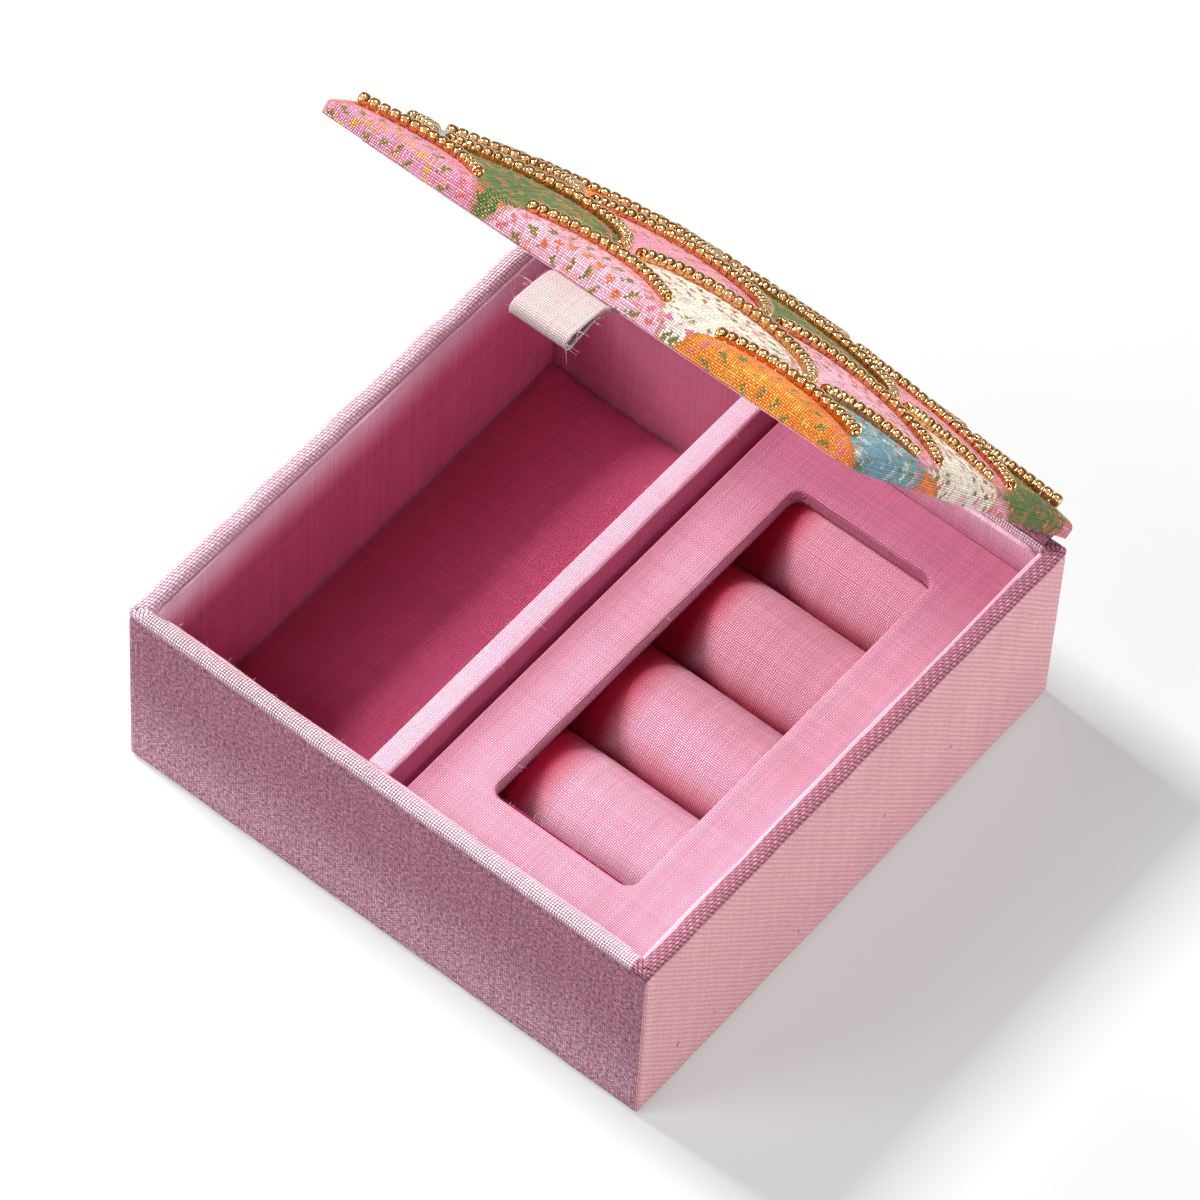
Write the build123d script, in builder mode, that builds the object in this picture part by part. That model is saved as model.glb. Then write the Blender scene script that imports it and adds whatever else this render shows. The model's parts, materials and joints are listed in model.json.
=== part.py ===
from build123d import *
from math import acos, asin, ceil, cos, floor, pi, radians, sin, sqrt
import os

# Jewelry box with a padded, beaded lid that is hinged along the back edge.
# Millimetres, +X to the right, +Y to the back, +Z up.
# The origin is the middle of the underside. The lid is drawn as it stands open.

# Carcass
BOX_WIDTH = 130.6
BOX_DEPTH = 132.2
BOX_HEIGHT = 50.0
WALL_BOARD = 2.0
BOTTOM_BOARD = 2.5
CLOTH = 0.5
CORNER_RADIUS = 1.2
RIM_RADIUS = 1.2
TURN_UNDER = 12.0
BOTTOM_SHEET = 0.5
BOTTOM_SHEET_INSET = 2.0

# Lining of the walls
LINER = 1.5
LINER_DROP = 2.0
LINER_BEVEL = 0.4
LINER_CORNER_RADIUS = 4.0
LINER_END_GAP = 1.6

# Divider and open compartment
DIVIDER_BOARD = 4.0
DIVIDER_CENTRE_X = -5.3
DIVIDER_EDGE_RADIUS = 0.8
FIT = 0.1
FLOOR_CARD = 1.5
FLOOR_GAP = 0.3
PAD_EDGE = 2.0
PAD_END_CROWN = 3.2
PAD_CROWN = 5.4
PAD_DRAW_IN = 1.0
PAD_STRIPS = 4

# Ring tray
TRAY_TOP = 40.0
TRAY_BOARD = 3.5
TRAY_BEVEL = 0.6
WINDOW_SIDE_MARGIN = 14.3
WINDOW_FRONT_MARGIN = 14.3
WINDOW_BACK_MARGIN = 12.8
WINDOW_RADIUS = 2.5
RAIL = 3.0
ROLL_RADIUS = 13.0
ROLL_CLOTH = 0.6
ROLL_EASE = 0.15
ROLL_GAP = 0.3
ROLL_CREST_GAP = 0.1
ROLL_BACK_GAP = 1.3

# Lid
LID_OPEN_ANGLE = 53.0
LID_SIDE_INSET = 1.0
LID_FRONT_INSET = 1.6
LID_BACK_OVERHANG = 0.6
LID_REST_GAP = 1.0
LID_BOARD = 2.0
LID_EDGE = 5.0
LID_CROWN = 12.5
LID_END_ARCH = 0.6
LID_CORNER_EASE = 0.4
LID_EDGE_RADIUS = 2.2
LID_EDGE_SHARE = 0.8
LID_EDGE_STEPS = (0, 40, 90)
LID_STRIPS = 6
LID_PAD_EASE = 0.15
LID_TURN_UNDER = 12.0
LID_LINING_INSET = 7.5
LID_LINING_CARD = 1.5

# Cloth hinge
HINGE_FOLD_RADIUS = 0.3
HINGE_CLOTH = 0.5
HINGE_END_GAP = 3.0

# Pull tab
TAB_WIDTH = 13.5
TAB_CLOTH = 0.35
TAB_ROOT = 5.0
TAB_REACH = 2.0
TAB_LENGTH = 12.0
TAB_LOOP_RADIUS = 1.6
TAB_SEAM = 3.0

# Seed beads, strung in rows of scallops
BEAD_DIAMETER = 2.5
BEAD_LENGTH = 1.9
BEAD_SPACE = 0.3
BEAD_SIDES = 5
BEAD_STAND = 0.12
SCALLOP_WIDTH = 45.0
SCALLOP_TIP_GAP = 0.5
SCALLOP_ROW_STEP = 22.5
SCALLOP_SHIFT_X = -3.0
SCALLOP_FIRST_ROW = -11.0
BEAD_MARGIN = 3.0
BEAD_GAP = 0.3

# Levels and faces that the pieces share
wall = WALL_BOARD + 2 * CLOTH
board_low = BOTTOM_SHEET + CLOTH
floor_top = board_low + BOTTOM_BOARD
carcass_width = BOX_WIDTH - 2 * CLOTH
carcass_depth = BOX_DEPTH - 2 * CLOTH
carcass_top = BOX_HEIGHT - CLOTH
inside_x = BOX_WIDTH / 2 - wall
inside_y = BOX_DEPTH / 2 - wall
lined_x = inside_x - LINER
lined_y = inside_y - LINER
liner_top = BOX_HEIGHT - LINER_DROP
divider_half = DIVIDER_BOARD / 2 + CLOTH
divider_left = DIVIDER_CENTRE_X - divider_half
divider_right = DIVIDER_CENTRE_X + divider_half
card_top = floor_top + FLOOR_CARD
tray_low = TRAY_TOP - CLOTH - TRAY_BOARD
bed_top = tray_low - ROLL_CREST_GAP - 2 * ROLL_RADIUS - FIT
tray_left = divider_right + FIT
tray_right = lined_x - FIT
tray_depth = 2 * (lined_y - FIT)

# The lid's own frame: x along the hinge, y to the back, z out of its printed top
hinge_y = BOX_DEPTH / 2
hinge_z = BOX_HEIGHT
tilt = radians(LID_OPEN_ANGLE)
lid_plane = Plane(origin=(0, hinge_y, hinge_z), x_dir=(1, 0, 0), z_dir=(0, sin(tilt), cos(tilt)))
lid_up = Axis(lid_plane.origin, lid_plane.z_dir)
lid_half = BOX_WIDTH / 2 - LID_SIDE_INSET
lid_front = LID_FRONT_INSET - BOX_DEPTH
lid_back = LID_BACK_OVERHANG
lid_middle = (lid_front + lid_back) / 2
lid_board_low = LID_REST_GAP + CLOTH
lid_board_top = lid_board_low + LID_BOARD
lid_edge_radius = min(LID_EDGE_RADIUS, LID_EDGE - CLOTH - LID_BOARD)
lining_half = lid_half - LID_LINING_INSET
lining_front = lid_front + LID_LINING_INSET
lining_back = lid_back - LID_LINING_INSET

os.makedirs("parts", exist_ok=True)


def save(piece, label):
    piece.part.label = label
    export_step(piece.part, f"parts/{label}.step")


def slab(x, y, z, plane=Plane.XY):
    """Extrude the rectangle between two x and two y values from one z value to another."""
    with BuildSketch(plane.offset(z[0])) as outline:
        with Locations(((x[0] + x[1]) / 2, (y[0] + y[1]) / 2)):
            Rectangle(x[1] - x[0], y[1] - y[0])
    extrude(outline.sketch, amount=z[1] - z[0])


# Boards of the carcass
with BuildPart() as bottom_board:
    slab(
        (-carcass_width / 2 + WALL_BOARD, carcass_width / 2 - WALL_BOARD),
        (-carcass_depth / 2 + WALL_BOARD, carcass_depth / 2 - WALL_BOARD),
        (board_low, floor_top),
    )
save(bottom_board, "bottom_board")

for side, label in ((-1, "front_wall_board"), (1, "back_wall_board")):
    face = side * carcass_depth / 2
    with BuildPart() as long_board:
        slab(
            (-carcass_width / 2, carcass_width / 2),
            sorted((face, face - side * WALL_BOARD)),
            (board_low, carcass_top),
        )
    save(long_board, label)

for side, label in ((-1, "left_wall_board"), (1, "right_wall_board")):
    face = side * carcass_width / 2
    with BuildPart() as short_board:
        slab(
            sorted((face, face - side * WALL_BOARD)),
            (-carcass_depth / 2 + WALL_BOARD, carcass_depth / 2 - WALL_BOARD),
            (board_low, carcass_top),
        )
    save(short_board, label)

# Linen wrap: outside, over the rim, down the inside and turned under
with BuildPart() as outer_wrap:
    with BuildSketch(Plane.XY.offset(BOTTOM_SHEET)):
        RectangleRounded(BOX_WIDTH, BOX_DEPTH, CORNER_RADIUS)
    extrude(amount=BOX_HEIGHT - BOTTOM_SHEET)
    fillet(outer_wrap.faces().sort_by(Axis.Z)[-1].edges(), RIM_RADIUS)
    with BuildSketch(Plane.XY.offset(floor_top)):
        Rectangle(2 * inside_x, 2 * inside_y)
    extrude(amount=BOX_HEIGHT - floor_top, mode=Mode.SUBTRACT)
    rim_ring = outer_wrap.faces().sort_by(Axis.Z)[-1]
    fillet(rim_ring.inner_wires()[0].edges(), RIM_RADIUS)
    with BuildSketch(Plane.XY.offset(board_low)):
        Rectangle(carcass_width, carcass_depth)
        Rectangle(2 * inside_x + 2 * CLOTH, 2 * inside_y + 2 * CLOTH, mode=Mode.SUBTRACT)
    extrude(amount=carcass_top - board_low, mode=Mode.SUBTRACT)
    with BuildSketch(Plane.XY.offset(board_low)):
        Rectangle(2 * inside_x + 2 * CLOTH, 2 * inside_y + 2 * CLOTH)
    extrude(amount=BOTTOM_BOARD, mode=Mode.SUBTRACT)
    with BuildSketch(Plane.XY.offset(BOTTOM_SHEET)):
        Rectangle(BOX_WIDTH - 2 * TURN_UNDER, BOX_DEPTH - 2 * TURN_UNDER)
    extrude(amount=CLOTH, mode=Mode.SUBTRACT)
save(outer_wrap, "outer_wrap")

with BuildPart() as bottom_cover:
    with BuildSketch():
        RectangleRounded(
            BOX_WIDTH - 2 * BOTTOM_SHEET_INSET,
            BOX_DEPTH - 2 * BOTTOM_SHEET_INSET,
            CORNER_RADIUS,
        )
    extrude(amount=BOTTOM_SHEET)
save(bottom_cover, "bottom_cover")

# Cloth-covered cards that line the walls
for side, label in ((-1, "left_liner"), (1, "right_liner")):
    with BuildPart() as side_liner:
        slab(sorted((side * inside_x, side * lined_x)), (-inside_y, inside_y), (floor_top, liner_top))
        side_top = side_liner.faces().sort_by(Axis.Z)[-1]
        chamfer(side_top.edges().filter_by(Axis.Y), LINER_BEVEL)
    save(side_liner, label)

for side, label in ((-1, "front_liner"), (1, "back_liner")):
    with BuildPart() as end_liner:
        slab(
            (LINER_END_GAP - lined_x, lined_x - LINER_END_GAP),
            sorted((side * inside_y, side * lined_y)),
            (floor_top, liner_top),
        )
        fillet(end_liner.edges().filter_by(Axis.Y).group_by(Axis.Z)[-1], LINER_CORNER_RADIUS)
        straight_top = end_liner.edges().filter_by(Axis.X).group_by(Axis.Z)[-1]
        rounded_top = end_liner.edges().filter_by(GeomType.CIRCLE)
        chamfer(straight_top + rounded_top, LINER_BEVEL)
    save(end_liner, label)

# Divider, front to back between the end liners
with BuildPart() as divider_board:
    slab(
        (DIVIDER_CENTRE_X - DIVIDER_BOARD / 2, DIVIDER_CENTRE_X + DIVIDER_BOARD / 2),
        (FIT - lined_y, lined_y - FIT),
        (floor_top, liner_top - CLOTH),
    )
save(divider_board, "divider_board")

with BuildPart() as divider_cover:
    slab((divider_left, divider_right), (FIT - lined_y, lined_y - FIT), (floor_top, liner_top))
    divider_top = divider_cover.faces().sort_by(Axis.Z)[-1]
    fillet(divider_top.edges().filter_by(Axis.Y), DIVIDER_EDGE_RADIUS)
    add(divider_board.part, mode=Mode.SUBTRACT)
save(divider_cover, "divider_cover")

# Floor of the open compartment: a card under a soft pad
floor_left = FLOOR_GAP - lined_x
floor_right = divider_left - FLOOR_GAP
floor_half_depth = lined_y - FLOOR_GAP

with BuildPart() as floor_card:
    slab((floor_left, floor_right), (-floor_half_depth, floor_half_depth), (floor_top, card_top))
save(floor_card, "floor_card")


def pad_section(y, half, crown):
    """One cross section of the floor pad, flat below and arched above."""
    middle = (floor_left + floor_right) / 2
    with BuildSketch(Plane.XZ.offset(-y)) as section:
        with BuildLine():
            Polyline(
                (middle - half, card_top + PAD_EDGE),
                (middle - half, card_top),
                (middle + half, card_top),
                (middle + half, card_top + PAD_EDGE),
            )
            ThreePointArc(
                (middle + half, card_top + PAD_EDGE),
                (middle, card_top + crown),
                (middle - half, card_top + PAD_EDGE),
            )
        make_face()
    return section.sketch


pad_half = (floor_right - floor_left) / 2
with BuildPart() as floor_pad:
    pad_sections = []
    for strip in range(PAD_STRIPS + 1):
        along = 2 * strip / PAD_STRIPS - 1
        swell = 1 - along**2
        crown = PAD_END_CROWN + (PAD_CROWN - PAD_END_CROWN) * swell
        pad_sections.append(pad_section(along * floor_half_depth, pad_half - PAD_DRAW_IN * swell, crown))
    loft(pad_sections, ruled=True)
save(floor_pad, "floor_pad")

# Ring tray: foam bed, rails that carry the frame, and as many soft rolls as fit
with BuildPart() as ring_bed:
    slab(
        (tray_left + RAIL + FIT, tray_right - RAIL - FIT),
        (-tray_depth / 2, tray_depth / 2),
        (floor_top, bed_top),
    )
save(ring_bed, "ring_bed")

for low_x, label in ((tray_left, "tray_rail_left"), (tray_right - RAIL, "tray_rail_right")):
    with BuildPart() as tray_rail:
        slab((low_x, low_x + RAIL), (-tray_depth / 2, tray_depth / 2), (floor_top, tray_low))
    save(tray_rail, label)

roll_low_x = tray_left + RAIL + FLOOR_GAP
roll_high_x = tray_right - RAIL - FLOOR_GAP
roll_z = bed_top + FIT + ROLL_RADIUS
roll_pitch = 2 * ROLL_RADIUS + ROLL_GAP
roll_count = floor((2 * lined_y - ROLL_BACK_GAP - FLOOR_GAP - RAIL - FIT) / roll_pitch)
last_roll_y = lined_y - ROLL_BACK_GAP - ROLL_RADIUS
first_roll_y = last_roll_y - (roll_count - 1) * roll_pitch

with BuildPart() as tray_front_rail:
    rail_back = first_roll_y - ROLL_RADIUS - FLOOR_GAP
    slab((roll_low_x, roll_high_x), (rail_back - RAIL, rail_back), (bed_top, tray_low))
save(tray_front_rail, "tray_front_rail")

for index in range(roll_count):
    roll_centre = (first_roll_y + index * roll_pitch, roll_z)
    with BuildPart() as roll_core:
        with BuildSketch(Plane.YZ.offset(roll_low_x)):
            with Locations(roll_centre):
                Circle(ROLL_RADIUS - ROLL_CLOTH - ROLL_EASE)
        extrude(amount=roll_high_x - roll_low_x)
    save(roll_core, f"ring_roll_core_{index + 1}")
    with BuildPart() as roll_cover:
        with BuildSketch(Plane.YZ.offset(roll_low_x)):
            with Locations(roll_centre):
                Circle(ROLL_RADIUS)
                Circle(ROLL_RADIUS - ROLL_CLOTH, mode=Mode.SUBTRACT)
        extrude(amount=roll_high_x - roll_low_x)
    save(roll_cover, f"ring_roll_cover_{index + 1}")

# Frame over the rolls: a board with a window, and its cloth
window_low = (tray_left + WINDOW_SIDE_MARGIN, WINDOW_FRONT_MARGIN - tray_depth / 2)
window_high = (tray_right - WINDOW_SIDE_MARGIN, tray_depth / 2 - WINDOW_BACK_MARGIN)
window_centre = ((window_low[0] + window_high[0]) / 2, (window_low[1] + window_high[1]) / 2)
window_size = (window_high[0] - window_low[0], window_high[1] - window_low[1])


def frame_sketch(inset):
    """Outline of the tray frame with its window, drawn in by the cloth where it is the board's."""
    with BuildSketch(Plane.XY.offset(tray_low)) as outline:
        with Locations(((tray_left + tray_right) / 2, 0)):
            Rectangle(tray_right - tray_left - 2 * inset, tray_depth - 2 * inset)
        with Locations(window_centre):
            RectangleRounded(
                window_size[0] + 2 * inset,
                window_size[1] + 2 * inset,
                WINDOW_RADIUS + inset,
                mode=Mode.SUBTRACT,
            )
    return outline.sketch


with BuildPart() as tray_frame_board:
    extrude(frame_sketch(CLOTH), amount=TRAY_BOARD)
save(tray_frame_board, "tray_frame_board")

with BuildPart() as tray_frame_cover:
    extrude(frame_sketch(0), amount=TRAY_BOARD + CLOTH)
    chamfer(tray_frame_cover.faces().sort_by(Axis.Z)[-1].edges(), TRAY_BEVEL)
    add(tray_frame_board.part, mode=Mode.SUBTRACT)
save(tray_frame_cover, "tray_frame_cover")

# Cloth hinge: the fold stays on the back rim, the flap turns with the lid
hinge_half = lid_half - HINGE_END_GAP

with BuildPart() as hinge_fold:
    with BuildSketch(Plane.YZ.offset(-hinge_half)):
        with Locations((hinge_y, hinge_z)):
            Circle(HINGE_FOLD_RADIUS)
    extrude(amount=2 * hinge_half)
save(hinge_fold, "hinge_fold")

with BuildPart() as hinge_flap:
    slab(
        (-hinge_half, hinge_half),
        (lining_back + FIT, 0),
        (LID_REST_GAP - HINGE_CLOTH, LID_REST_GAP),
        lid_plane,
    )
save(hinge_flap, "hinge_flap")

# Lid: board, crowned pad and printed cover
with BuildPart() as lid_board:
    with BuildSketch(lid_plane.offset(lid_board_low)):
        with Locations((0, lid_middle)):
            RectangleRounded(
                2 * (lid_half - CLOTH),
                lid_back - lid_front - 2 * CLOTH,
                lid_edge_radius + LID_CORNER_EASE,
            )
    extrude(amount=LID_BOARD)
save(lid_board, "lid_board")


def lid_section(y, half, low, edge, crown, radius):
    """One cross section of the lid at y: flat below, rounded at the sides and arched above."""
    corner = min(radius, LID_EDGE_SHARE * (edge - low))
    shoulder = corner * (1 - sqrt(0.5))
    across = Plane(lid_plane.from_local_coords((0, y, 0)), lid_plane.x_dir, -lid_plane.y_dir)
    with BuildSketch(across) as section:
        with BuildLine():
            Polyline((-half, edge - corner), (-half, low), (half, low), (half, edge - corner))
            ThreePointArc(
                (half, edge - corner),
                (half - shoulder, edge - shoulder),
                (half - corner, edge),
            )
            ThreePointArc((half - corner, edge), (0, crown), (corner - half, edge))
            ThreePointArc(
                (corner - half, edge),
                (shoulder - half, edge - shoulder),
                (-half, edge - corner),
            )
        make_face()
    return section.sketch


def lid_dome(inset, low):
    """Loft the crowned lid, with sides and top drawn in by the inset, standing on the low level."""
    half = lid_half - inset
    edge = LID_REST_GAP + LID_EDGE - inset
    radius = lid_edge_radius - inset
    half_length = (lid_back - lid_front) / 2 - inset
    turns = [radians(angle) for angle in LID_EDGE_STEPS]
    rounding = [(half_length - radius * (1 - cos(turn)), radius * (1 - sin(turn))) for turn in turns]
    strip_length = 2 * (half_length - radius) / LID_STRIPS
    stations = [(-along, drop) for along, drop in rounding]
    stations += [(radius - half_length + strip * strip_length, 0) for strip in range(1, LID_STRIPS)]
    stations += rounding[::-1]
    sections = []
    for along, drop in stations:
        swell = 1 - (along / half_length) ** 2
        arch = LID_END_ARCH + (LID_CROWN - LID_EDGE - LID_END_ARCH) * swell
        top = edge - drop
        sections.append(lid_section(lid_middle + along, half - drop, low, top, top + arch, radius))
    loft(sections, ruled=True)


with BuildPart() as lid_pad:
    lid_dome(CLOTH + LID_PAD_EASE, lid_board_low)
    split(bisect_by=lid_plane.offset(lid_board_top), keep=Keep.TOP)
save(lid_pad, "lid_pad")

with BuildPart() as lid_hollow:
    lid_dome(CLOTH, lid_board_low)

with BuildPart() as lid_cover:
    lid_dome(0, LID_REST_GAP)
    lid_skin = lid_cover.part.shells()[0]
    add(lid_hollow.part, mode=Mode.SUBTRACT)
    with BuildSketch(lid_plane.offset(LID_REST_GAP)):
        with Locations((0, lid_middle)):
            Rectangle(2 * (lid_half - LID_TURN_UNDER), lid_back - lid_front - 2 * LID_TURN_UNDER)
    extrude(amount=CLOTH, mode=Mode.SUBTRACT)
save(lid_cover, "lid_cover")

# Lining under the lid
lining_low = LID_REST_GAP - LID_LINING_CARD - CLOTH

with BuildPart() as lid_lining_card:
    slab(
        (CLOTH - lining_half, lining_half - CLOTH),
        (lining_front + CLOTH, lining_back - CLOTH),
        (lining_low + CLOTH, LID_REST_GAP),
        lid_plane,
    )
save(lid_lining_card, "lid_lining_card")

with BuildPart() as lid_lining_cloth:
    slab((-lining_half, lining_half), (lining_front, lining_back), (lining_low, LID_REST_GAP), lid_plane)
    lining_face = lid_lining_cloth.faces().sort_by(lid_up)[0]
    fillet(lining_face.edges(), CLOTH)
    add(lid_lining_card.part, mode=Mode.SUBTRACT)
save(lid_lining_cloth, "lid_lining_cloth")

# Pull tab: a tongue under the lid's front edge that opens into a loop
tab_plane = Plane(
    origin=lid_plane.from_local_coords((-TAB_WIDTH / 2, 0, 0)),
    x_dir=lid_plane.y_dir,
    z_dir=lid_plane.x_dir,
)
tab_knee = (lid_front - TAB_REACH, LID_REST_GAP - TAB_CLOTH)
tab_ahead = (-cos(tilt), -sin(tilt))
tab_end = tuple(k + a * (TAB_LENGTH - TAB_LOOP_RADIUS) for k, a in zip(tab_knee, tab_ahead))
tab_seam = tuple(k + a * TAB_SEAM for k, a in zip(tab_knee, tab_ahead))

with BuildPart() as pull_tab:
    with BuildSketch(tab_plane):
        with Locations(tab_knee):
            Circle(TAB_CLOTH)
        with Locations(tab_end):
            Circle(TAB_LOOP_RADIUS)
        make_hull()
    extrude(amount=TAB_WIDTH)
    with BuildSketch(tab_plane):
        with Locations(tab_seam):
            Circle(TAB_CLOTH / 2)
        with Locations(tab_end):
            Circle(TAB_LOOP_RADIUS - TAB_CLOTH)
        make_hull()
    extrude(amount=TAB_WIDTH, mode=Mode.SUBTRACT)
    slab(
        (-TAB_WIDTH / 2, TAB_WIDTH / 2),
        (tab_knee[0], lid_front + TAB_ROOT),
        (LID_REST_GAP - 2 * TAB_CLOTH, LID_REST_GAP),
        lid_plane,
    )
save(pull_tab, "pull_tab")

# Seed beads, strung along scallops whose round side faces the hinge
bead_radius = BEAD_DIAMETER / 2
scallop_radius = SCALLOP_WIDTH / 2 - SCALLOP_TIP_GAP
bead_lift = bead_radius * cos(pi / BEAD_SIDES) + BEAD_STAND
bead_half_x = lid_half - BEAD_MARGIN
bead_front = lid_front + BEAD_MARGIN
bead_back = lid_back - BEAD_MARGIN
row_count = floor((bead_back - lid_front - SCALLOP_FIRST_ROW) / SCALLOP_ROW_STEP)


def scallop_angles():
    """Angles of the beads along one scallop, from its left tip over the crown to its right tip.

    The right tip comes down to the crown of the row in front. The left tip stops beside the
    right side of its neighbour.
    """
    left_reach = asin((SCALLOP_WIDTH - BEAD_DIAMETER - BEAD_GAP) / (2 * scallop_radius))
    right_reach = acos((scallop_radius + BEAD_DIAMETER + BEAD_GAP - SCALLOP_ROW_STEP) / scallop_radius)
    step = (BEAD_LENGTH + BEAD_SPACE) / scallop_radius
    return [turn * step for turn in range(-floor(left_reach / step), floor(right_reach / step) + 1)]


def bead_planes(row):
    """Planes across the thread, one for each bead of a row, standing on the lid's crown."""
    centre_y = lid_front + SCALLOP_FIRST_ROW + row * SCALLOP_ROW_STEP
    shift = SCALLOP_SHIFT_X + (row % 2) * SCALLOP_WIDTH / 2
    reach = ceil(BOX_WIDTH / SCALLOP_WIDTH)
    planes = []
    for column in range(-reach, reach + 1):
        centre_x = shift + column * SCALLOP_WIDTH
        for angle in scallop_angles():
            x = centre_x + scallop_radius * sin(angle)
            y = centre_y + scallop_radius * cos(angle)
            if abs(x) > bead_half_x or not bead_front < y < bead_back:
                continue
            foot = lid_plane.from_local_coords((x, y, 0))
            point, normal = lid_skin.find_intersection_points(Axis(foot, lid_plane.z_dir))[-1]
            if normal.dot(lid_plane.z_dir) < 0:
                normal = -normal
            thread = lid_plane.x_dir * cos(angle) - lid_plane.y_dir * sin(angle)
            along = (thread - normal * thread.dot(normal)).normalized()
            back_end = point + normal * bead_lift - along * (BEAD_LENGTH / 2)
            planes.append(Plane(back_end, x_dir=along.cross(normal), z_dir=along))
    return planes


bead_total = 0
for row in range(row_count):
    places = bead_planes(row)
    with BuildPart() as bead_row:
        with BuildSketch(*places):
            RegularPolygon(bead_radius, BEAD_SIDES, rotation=90 + 180 / BEAD_SIDES)
        extrude(amount=BEAD_LENGTH, clean=False)
    save(bead_row, f"bead_row_{row + 1}")
    bead_total += len(places)

print("beads", bead_total, "in", row_count, "rows")
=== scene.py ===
import json
import math

import bmesh
import bpy
import numpy as np
from mathutils import Matrix, Vector

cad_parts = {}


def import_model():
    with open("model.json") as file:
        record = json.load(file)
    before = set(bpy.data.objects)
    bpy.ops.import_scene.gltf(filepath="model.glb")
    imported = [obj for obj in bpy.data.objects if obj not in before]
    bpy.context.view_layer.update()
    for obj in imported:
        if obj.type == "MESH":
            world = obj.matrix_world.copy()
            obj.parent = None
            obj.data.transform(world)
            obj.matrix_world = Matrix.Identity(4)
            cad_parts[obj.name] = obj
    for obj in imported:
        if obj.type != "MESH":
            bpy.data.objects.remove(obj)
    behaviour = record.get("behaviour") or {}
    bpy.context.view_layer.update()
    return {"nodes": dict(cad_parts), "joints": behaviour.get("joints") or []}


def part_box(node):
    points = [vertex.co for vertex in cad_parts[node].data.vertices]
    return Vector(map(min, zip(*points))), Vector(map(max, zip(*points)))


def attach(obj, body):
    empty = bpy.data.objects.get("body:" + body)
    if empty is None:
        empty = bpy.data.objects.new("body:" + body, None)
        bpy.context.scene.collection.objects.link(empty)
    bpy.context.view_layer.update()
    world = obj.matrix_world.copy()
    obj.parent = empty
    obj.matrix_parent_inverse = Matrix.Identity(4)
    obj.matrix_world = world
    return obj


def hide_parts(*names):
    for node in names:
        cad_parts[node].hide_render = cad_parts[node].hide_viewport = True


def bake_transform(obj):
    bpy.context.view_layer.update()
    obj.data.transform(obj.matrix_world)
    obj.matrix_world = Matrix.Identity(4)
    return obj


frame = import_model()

# Jewelry box: linen over boards, a pink lined inside, a ring tray and a padded, beaded lid.
# Metres, in the frame's own axes: +X to the right, +Y to the hinge, +Z up.
MM = 0.001
TINY = 1e-9

# Cloths: distance from thread to thread, and the map of cloth coordinates
LINEN_PITCH = 0.42 * MM
RIM_PITCH = 0.6 * MM
LINING_PITCH = 0.44 * MM
PRINT_PITCH = 0.5 * MM
RIBBON_PITCH = 0.44 * MM
UV_NAME = "cloth"

# Scallops of the lid, the same as the beads follow
SCALLOP_WIDTH = 45 * MM
SCALLOP_RADIUS = 22 * MM
SCALLOP_STEP = 22.5 * MM
SCALLOP_SHIFT = -3 * MM
SCALLOP_FIRST = -11 * MM

# The lid's own frame: x along the hinge, y to the back, z out of the printed top
joint = frame["joints"][0]
LID_TILT = math.radians(-joint["range_deg"][0])
HINGE = Vector(joint["pos_m"])
LID_MATRIX = Matrix.Translation(HINGE) @ Matrix.Rotation(-LID_TILT, 4, "X")


def node_box(node):
    """Lowest and highest corner of a node, as arrays."""
    low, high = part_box(node)
    return np.array(low), np.array(high)


def lid_box(node):
    """Lowest and highest corner of a lid node, in the lid's own frame."""
    back = LID_MATRIX.inverted()
    points = np.array([back @ v.co for v in frame["nodes"][node].data.vertices])
    return points.min(0), points.max(0)


# Meshes
def show(piece):
    """Put an object into the scene."""
    bpy.context.scene.collection.objects.link(piece)
    return piece


def build(name, verts, faces, coords, material, matrix=Matrix.Identity(4), shape=None):
    """Make a smooth mesh object. coords holds each face's cloth coordinates, corner by corner."""
    mesh = bpy.data.meshes.new(name)
    mesh.from_pydata(np.asarray(verts).tolist(), [], [list(map(int, f)) for f in faces])
    layer = mesh.uv_layers.new(name=UV_NAME)
    flat = np.concatenate([np.asarray(c, float) for c in coords]).ravel()
    layer.data.foreach_set("uv", flat)
    work = bmesh.new()
    work.from_mesh(mesh)
    bmesh.ops.remove_doubles(work, verts=work.verts, dist=1e-7)
    bmesh.ops.dissolve_degenerate(work, edges=work.edges, dist=1e-8)
    bmesh.ops.recalc_face_normals(work, faces=work.faces)
    work.to_mesh(mesh)
    work.free()
    if shape:
        moved = shape(np.array([v.co for v in mesh.vertices]))
        mesh.vertices.foreach_set("co", moved.astype(np.float32).ravel())
    mesh.transform(matrix)
    mesh.polygons.foreach_set("use_smooth", [True] * len(mesh.polygons))
    mesh.update()
    mesh.materials.append(material)
    return show(bpy.data.objects.new(name, mesh))


def dress(piece, body, slot, *nodes):
    """Let a piece ride on a body and stand for CAD nodes, which it hides. slot is not used."""
    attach(piece, body)
    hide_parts(*nodes)
    return piece


def grid_faces(points, coords, close_rows=False, close_columns=False):
    """Quads over a grid of points. A closed direction has one more row or column of coords."""
    rows, columns = points.shape[:2]
    faces = []
    uvs = []
    for r in range(rows if close_rows else rows - 1):
        for c in range(columns if close_columns else columns - 1):
            corners = ((r, c), (r, c + 1), (r + 1, c + 1), (r + 1, c))
            faces.append([(i % rows) * columns + j % columns for i, j in corners])
            uvs.append([coords[i, j] for i, j in corners])
    return faces, uvs


def grid_piece(name, points, coords, material, close_rows=False, close_columns=False):
    """A mesh object over one grid of points."""
    faces, uvs = grid_faces(points, coords, close_rows, close_columns)
    return build(name, points.reshape(-1, 3), faces, uvs, material)


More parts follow.
